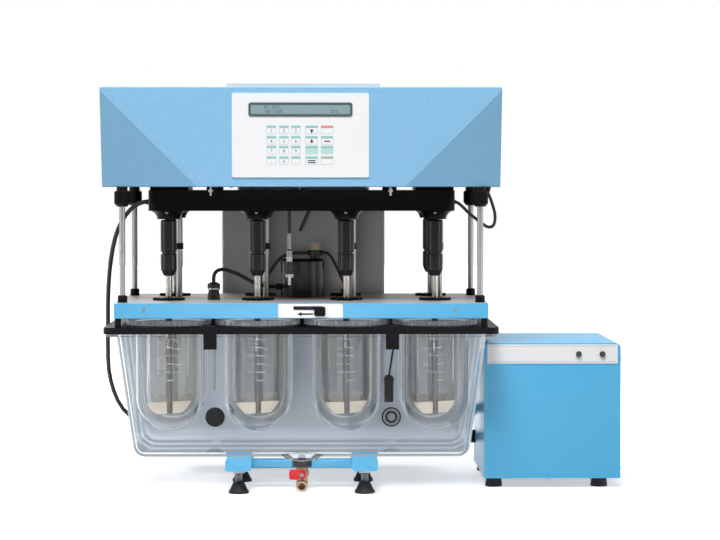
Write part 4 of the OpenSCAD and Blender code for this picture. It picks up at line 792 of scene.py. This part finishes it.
def tube(path, d, sides=16):
    """A round tube of that diameter along a path, with flat ends square to the path."""
    points, faces = [], []
    last = len(path) - 1
    side = None
    for i, p in enumerate(path):
        along = (path[min(i + 1, last)] - path[max(i - 1, 0)]).normalized()
        side = along.orthogonal() if side is None else side
        side = (side - along * side.dot(along)).normalized()
        up = along.cross(side)
        for k in range(sides):
            turn = math.tau * k / sides
            points.append(p + d / 2 * (math.cos(turn) * side + math.sin(turn) * up))
    for i in range(last):
        for k in range(sides):
            a, b = i * sides + k, i * sides + (k + 1) % sides
            faces.append((a, b, b + sides, a + sides))
    faces.append(tuple(range(sides - 1, -1, -1)))
    faces.append(tuple(last * sides + k for k in range(sides)))
    return points, faces


# Both rubbers are matt and nearly black with a faint grain, the hose a little duller and coarser.
cable = surface("rubber_cable_sheath", "#141416", "#1C1C1E", 30, 1.2, 0.05, 0.5)
hose_rubber = surface("rubber_hose", "#1A1A1B", "#242425", 40, 2, 0.1, 0.6)
# Each route is its points in mm and the lead's diameter, from the end that is named as its exit.
routes = {
    "lift_lead": ([(-237, 20, 447), (-252, 20, 447), (-267, 21, 441), (-282, 24, 426), (-295, 30, 403),
                   (-304, 37, 373), (-310, 44, 335), (-313, 50, 295), (-314, 56, 255), (-315, 64, 215),
                   (-315, 78, 175), (-309, 99, 138), (-296, 124, 106), (-272, 152, 82), (-240, 178, 70),
                   (-205, 196, 66), (-172, 204, 66), (-150, 206, 66), (-135, 206, 66)], 7),
    "loop_lead": ([(237, 0, 447), (244, 0, 447), (252, 0, 442), (261, 0, 433), (270, 0, 425), (279, 0, 418),
                   (288, 0, 411), (296, 0, 407), (303, 0, 409), (306, 0, 417), (306, 0, 428), (303, 0, 440),
                   (299, 0, 452), (295, 0, 462), (295, 0, 471)], 5),
    "sensor_lead": ([(-138, -57, 322), (-138, -57, 330), (-135, -55, 338), (-126, -50, 342), (-113, -42, 339),
                     (-99, -32, 333), (-86, -20, 325), (-76, -5, 319), (-69, 10, 315), (-64, 24, 312),
                     (-58, 34, 311), (-50, 39, 311), (-43, 39, 311)], 6),
    "left_tube": ([(8, 39, 365), (0, 39, 365), (-12, 39, 365), (-25, 40, 362), (-36, 42, 356), (-45, 45, 346),
                   (-53, 49, 334), (-60, 53, 323), (-66, 58, 312), (-66, 58, 307)], 5),
    "right_tube": ([(32, 39, 365), (38, 39, 365), (45, 40, 360), (51, 43, 350), (57, 47, 338), (62, 51, 327),
                    (66, 55, 318), (68, 58, 312), (68, 58, 307)], 5),
    "supply_hose": ([(165, 155, 88), (178, 155, 88), (190, 155, 88), (205, 155, 90), (220, 155, 95),
                     (235, 155, 100), (250, 155, 104), (272, 155, 104)], 16),
    "return_hose": ([(-125, 155, 88), (-112, 155, 88), (-100, 155, 88), (-80, 155, 86), (-55, 155, 80),
                     (-25, 155, 75), (10, 155, 72), (50, 155, 71), (90, 155, 71), (125, 155, 70),
                     (160, 155, 66), (195, 155, 61), (225, 155, 58), (250, 155, 57), (272, 155, 57)], 16),
}
stands_for = {"lift_lead": "lift_lead", "loop_lead": "loop_lead", "supply_hose": "water_hoses",
              "return_hose": "water_hoses"}
for name, (route, d) in routes.items():
    hose = name.endswith("hose")
    path = spline(route, 2)
    body = None if name == "lift_lead" else "root" if hose else "head"
    lead = piece(name, tube(path, d), hose_rubber if hose else cable, body, crease=60)
    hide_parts(stands_for.get(name, "probe_leads"))
    if name == "lift_lead":
        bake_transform(lead)

HOSE_Y, CLAMP_PLACES = 155, ((180, 88), (-110, 88), (263, 104), (263, 57))
CLAMP_BAND = [(8.1, -4), (8.9, -4), (8.9, 4), (8.1, 4)]
clamps = []
for x, z in CLAMP_PLACES:
    clamps.append(turned(CLAMP_BAND, x, HOSE_Y, z, "x", 32))
    clamps.append(prism(rounded(HOSE_Y + 3, z + 11, 11, 5, 1.2), x - 3.5, x + 3.5, "x"))
piece("hose_clamps", joined(*clamps), zinc, "root")
GLAND = [(5.6, 0), (5.6, 3), (4.6, 4), (4.4, 9), (3.9, 12), (3.6, 12)]
piece("lead_glands", joined(
    turned([(r, -h) for r, h in GLAND], *routes["lift_lead"][0][0], "x", 24),
    turned([(r * 0.85, h * 0.55) for r, h in GLAND], *routes["loop_lead"][0][0], "x", 24),
    turned([(r * 0.85, -h * 0.6) for r, h in GLAND], *routes["loop_lead"][0][-1], "z", 24)),
    black_abs, "head")
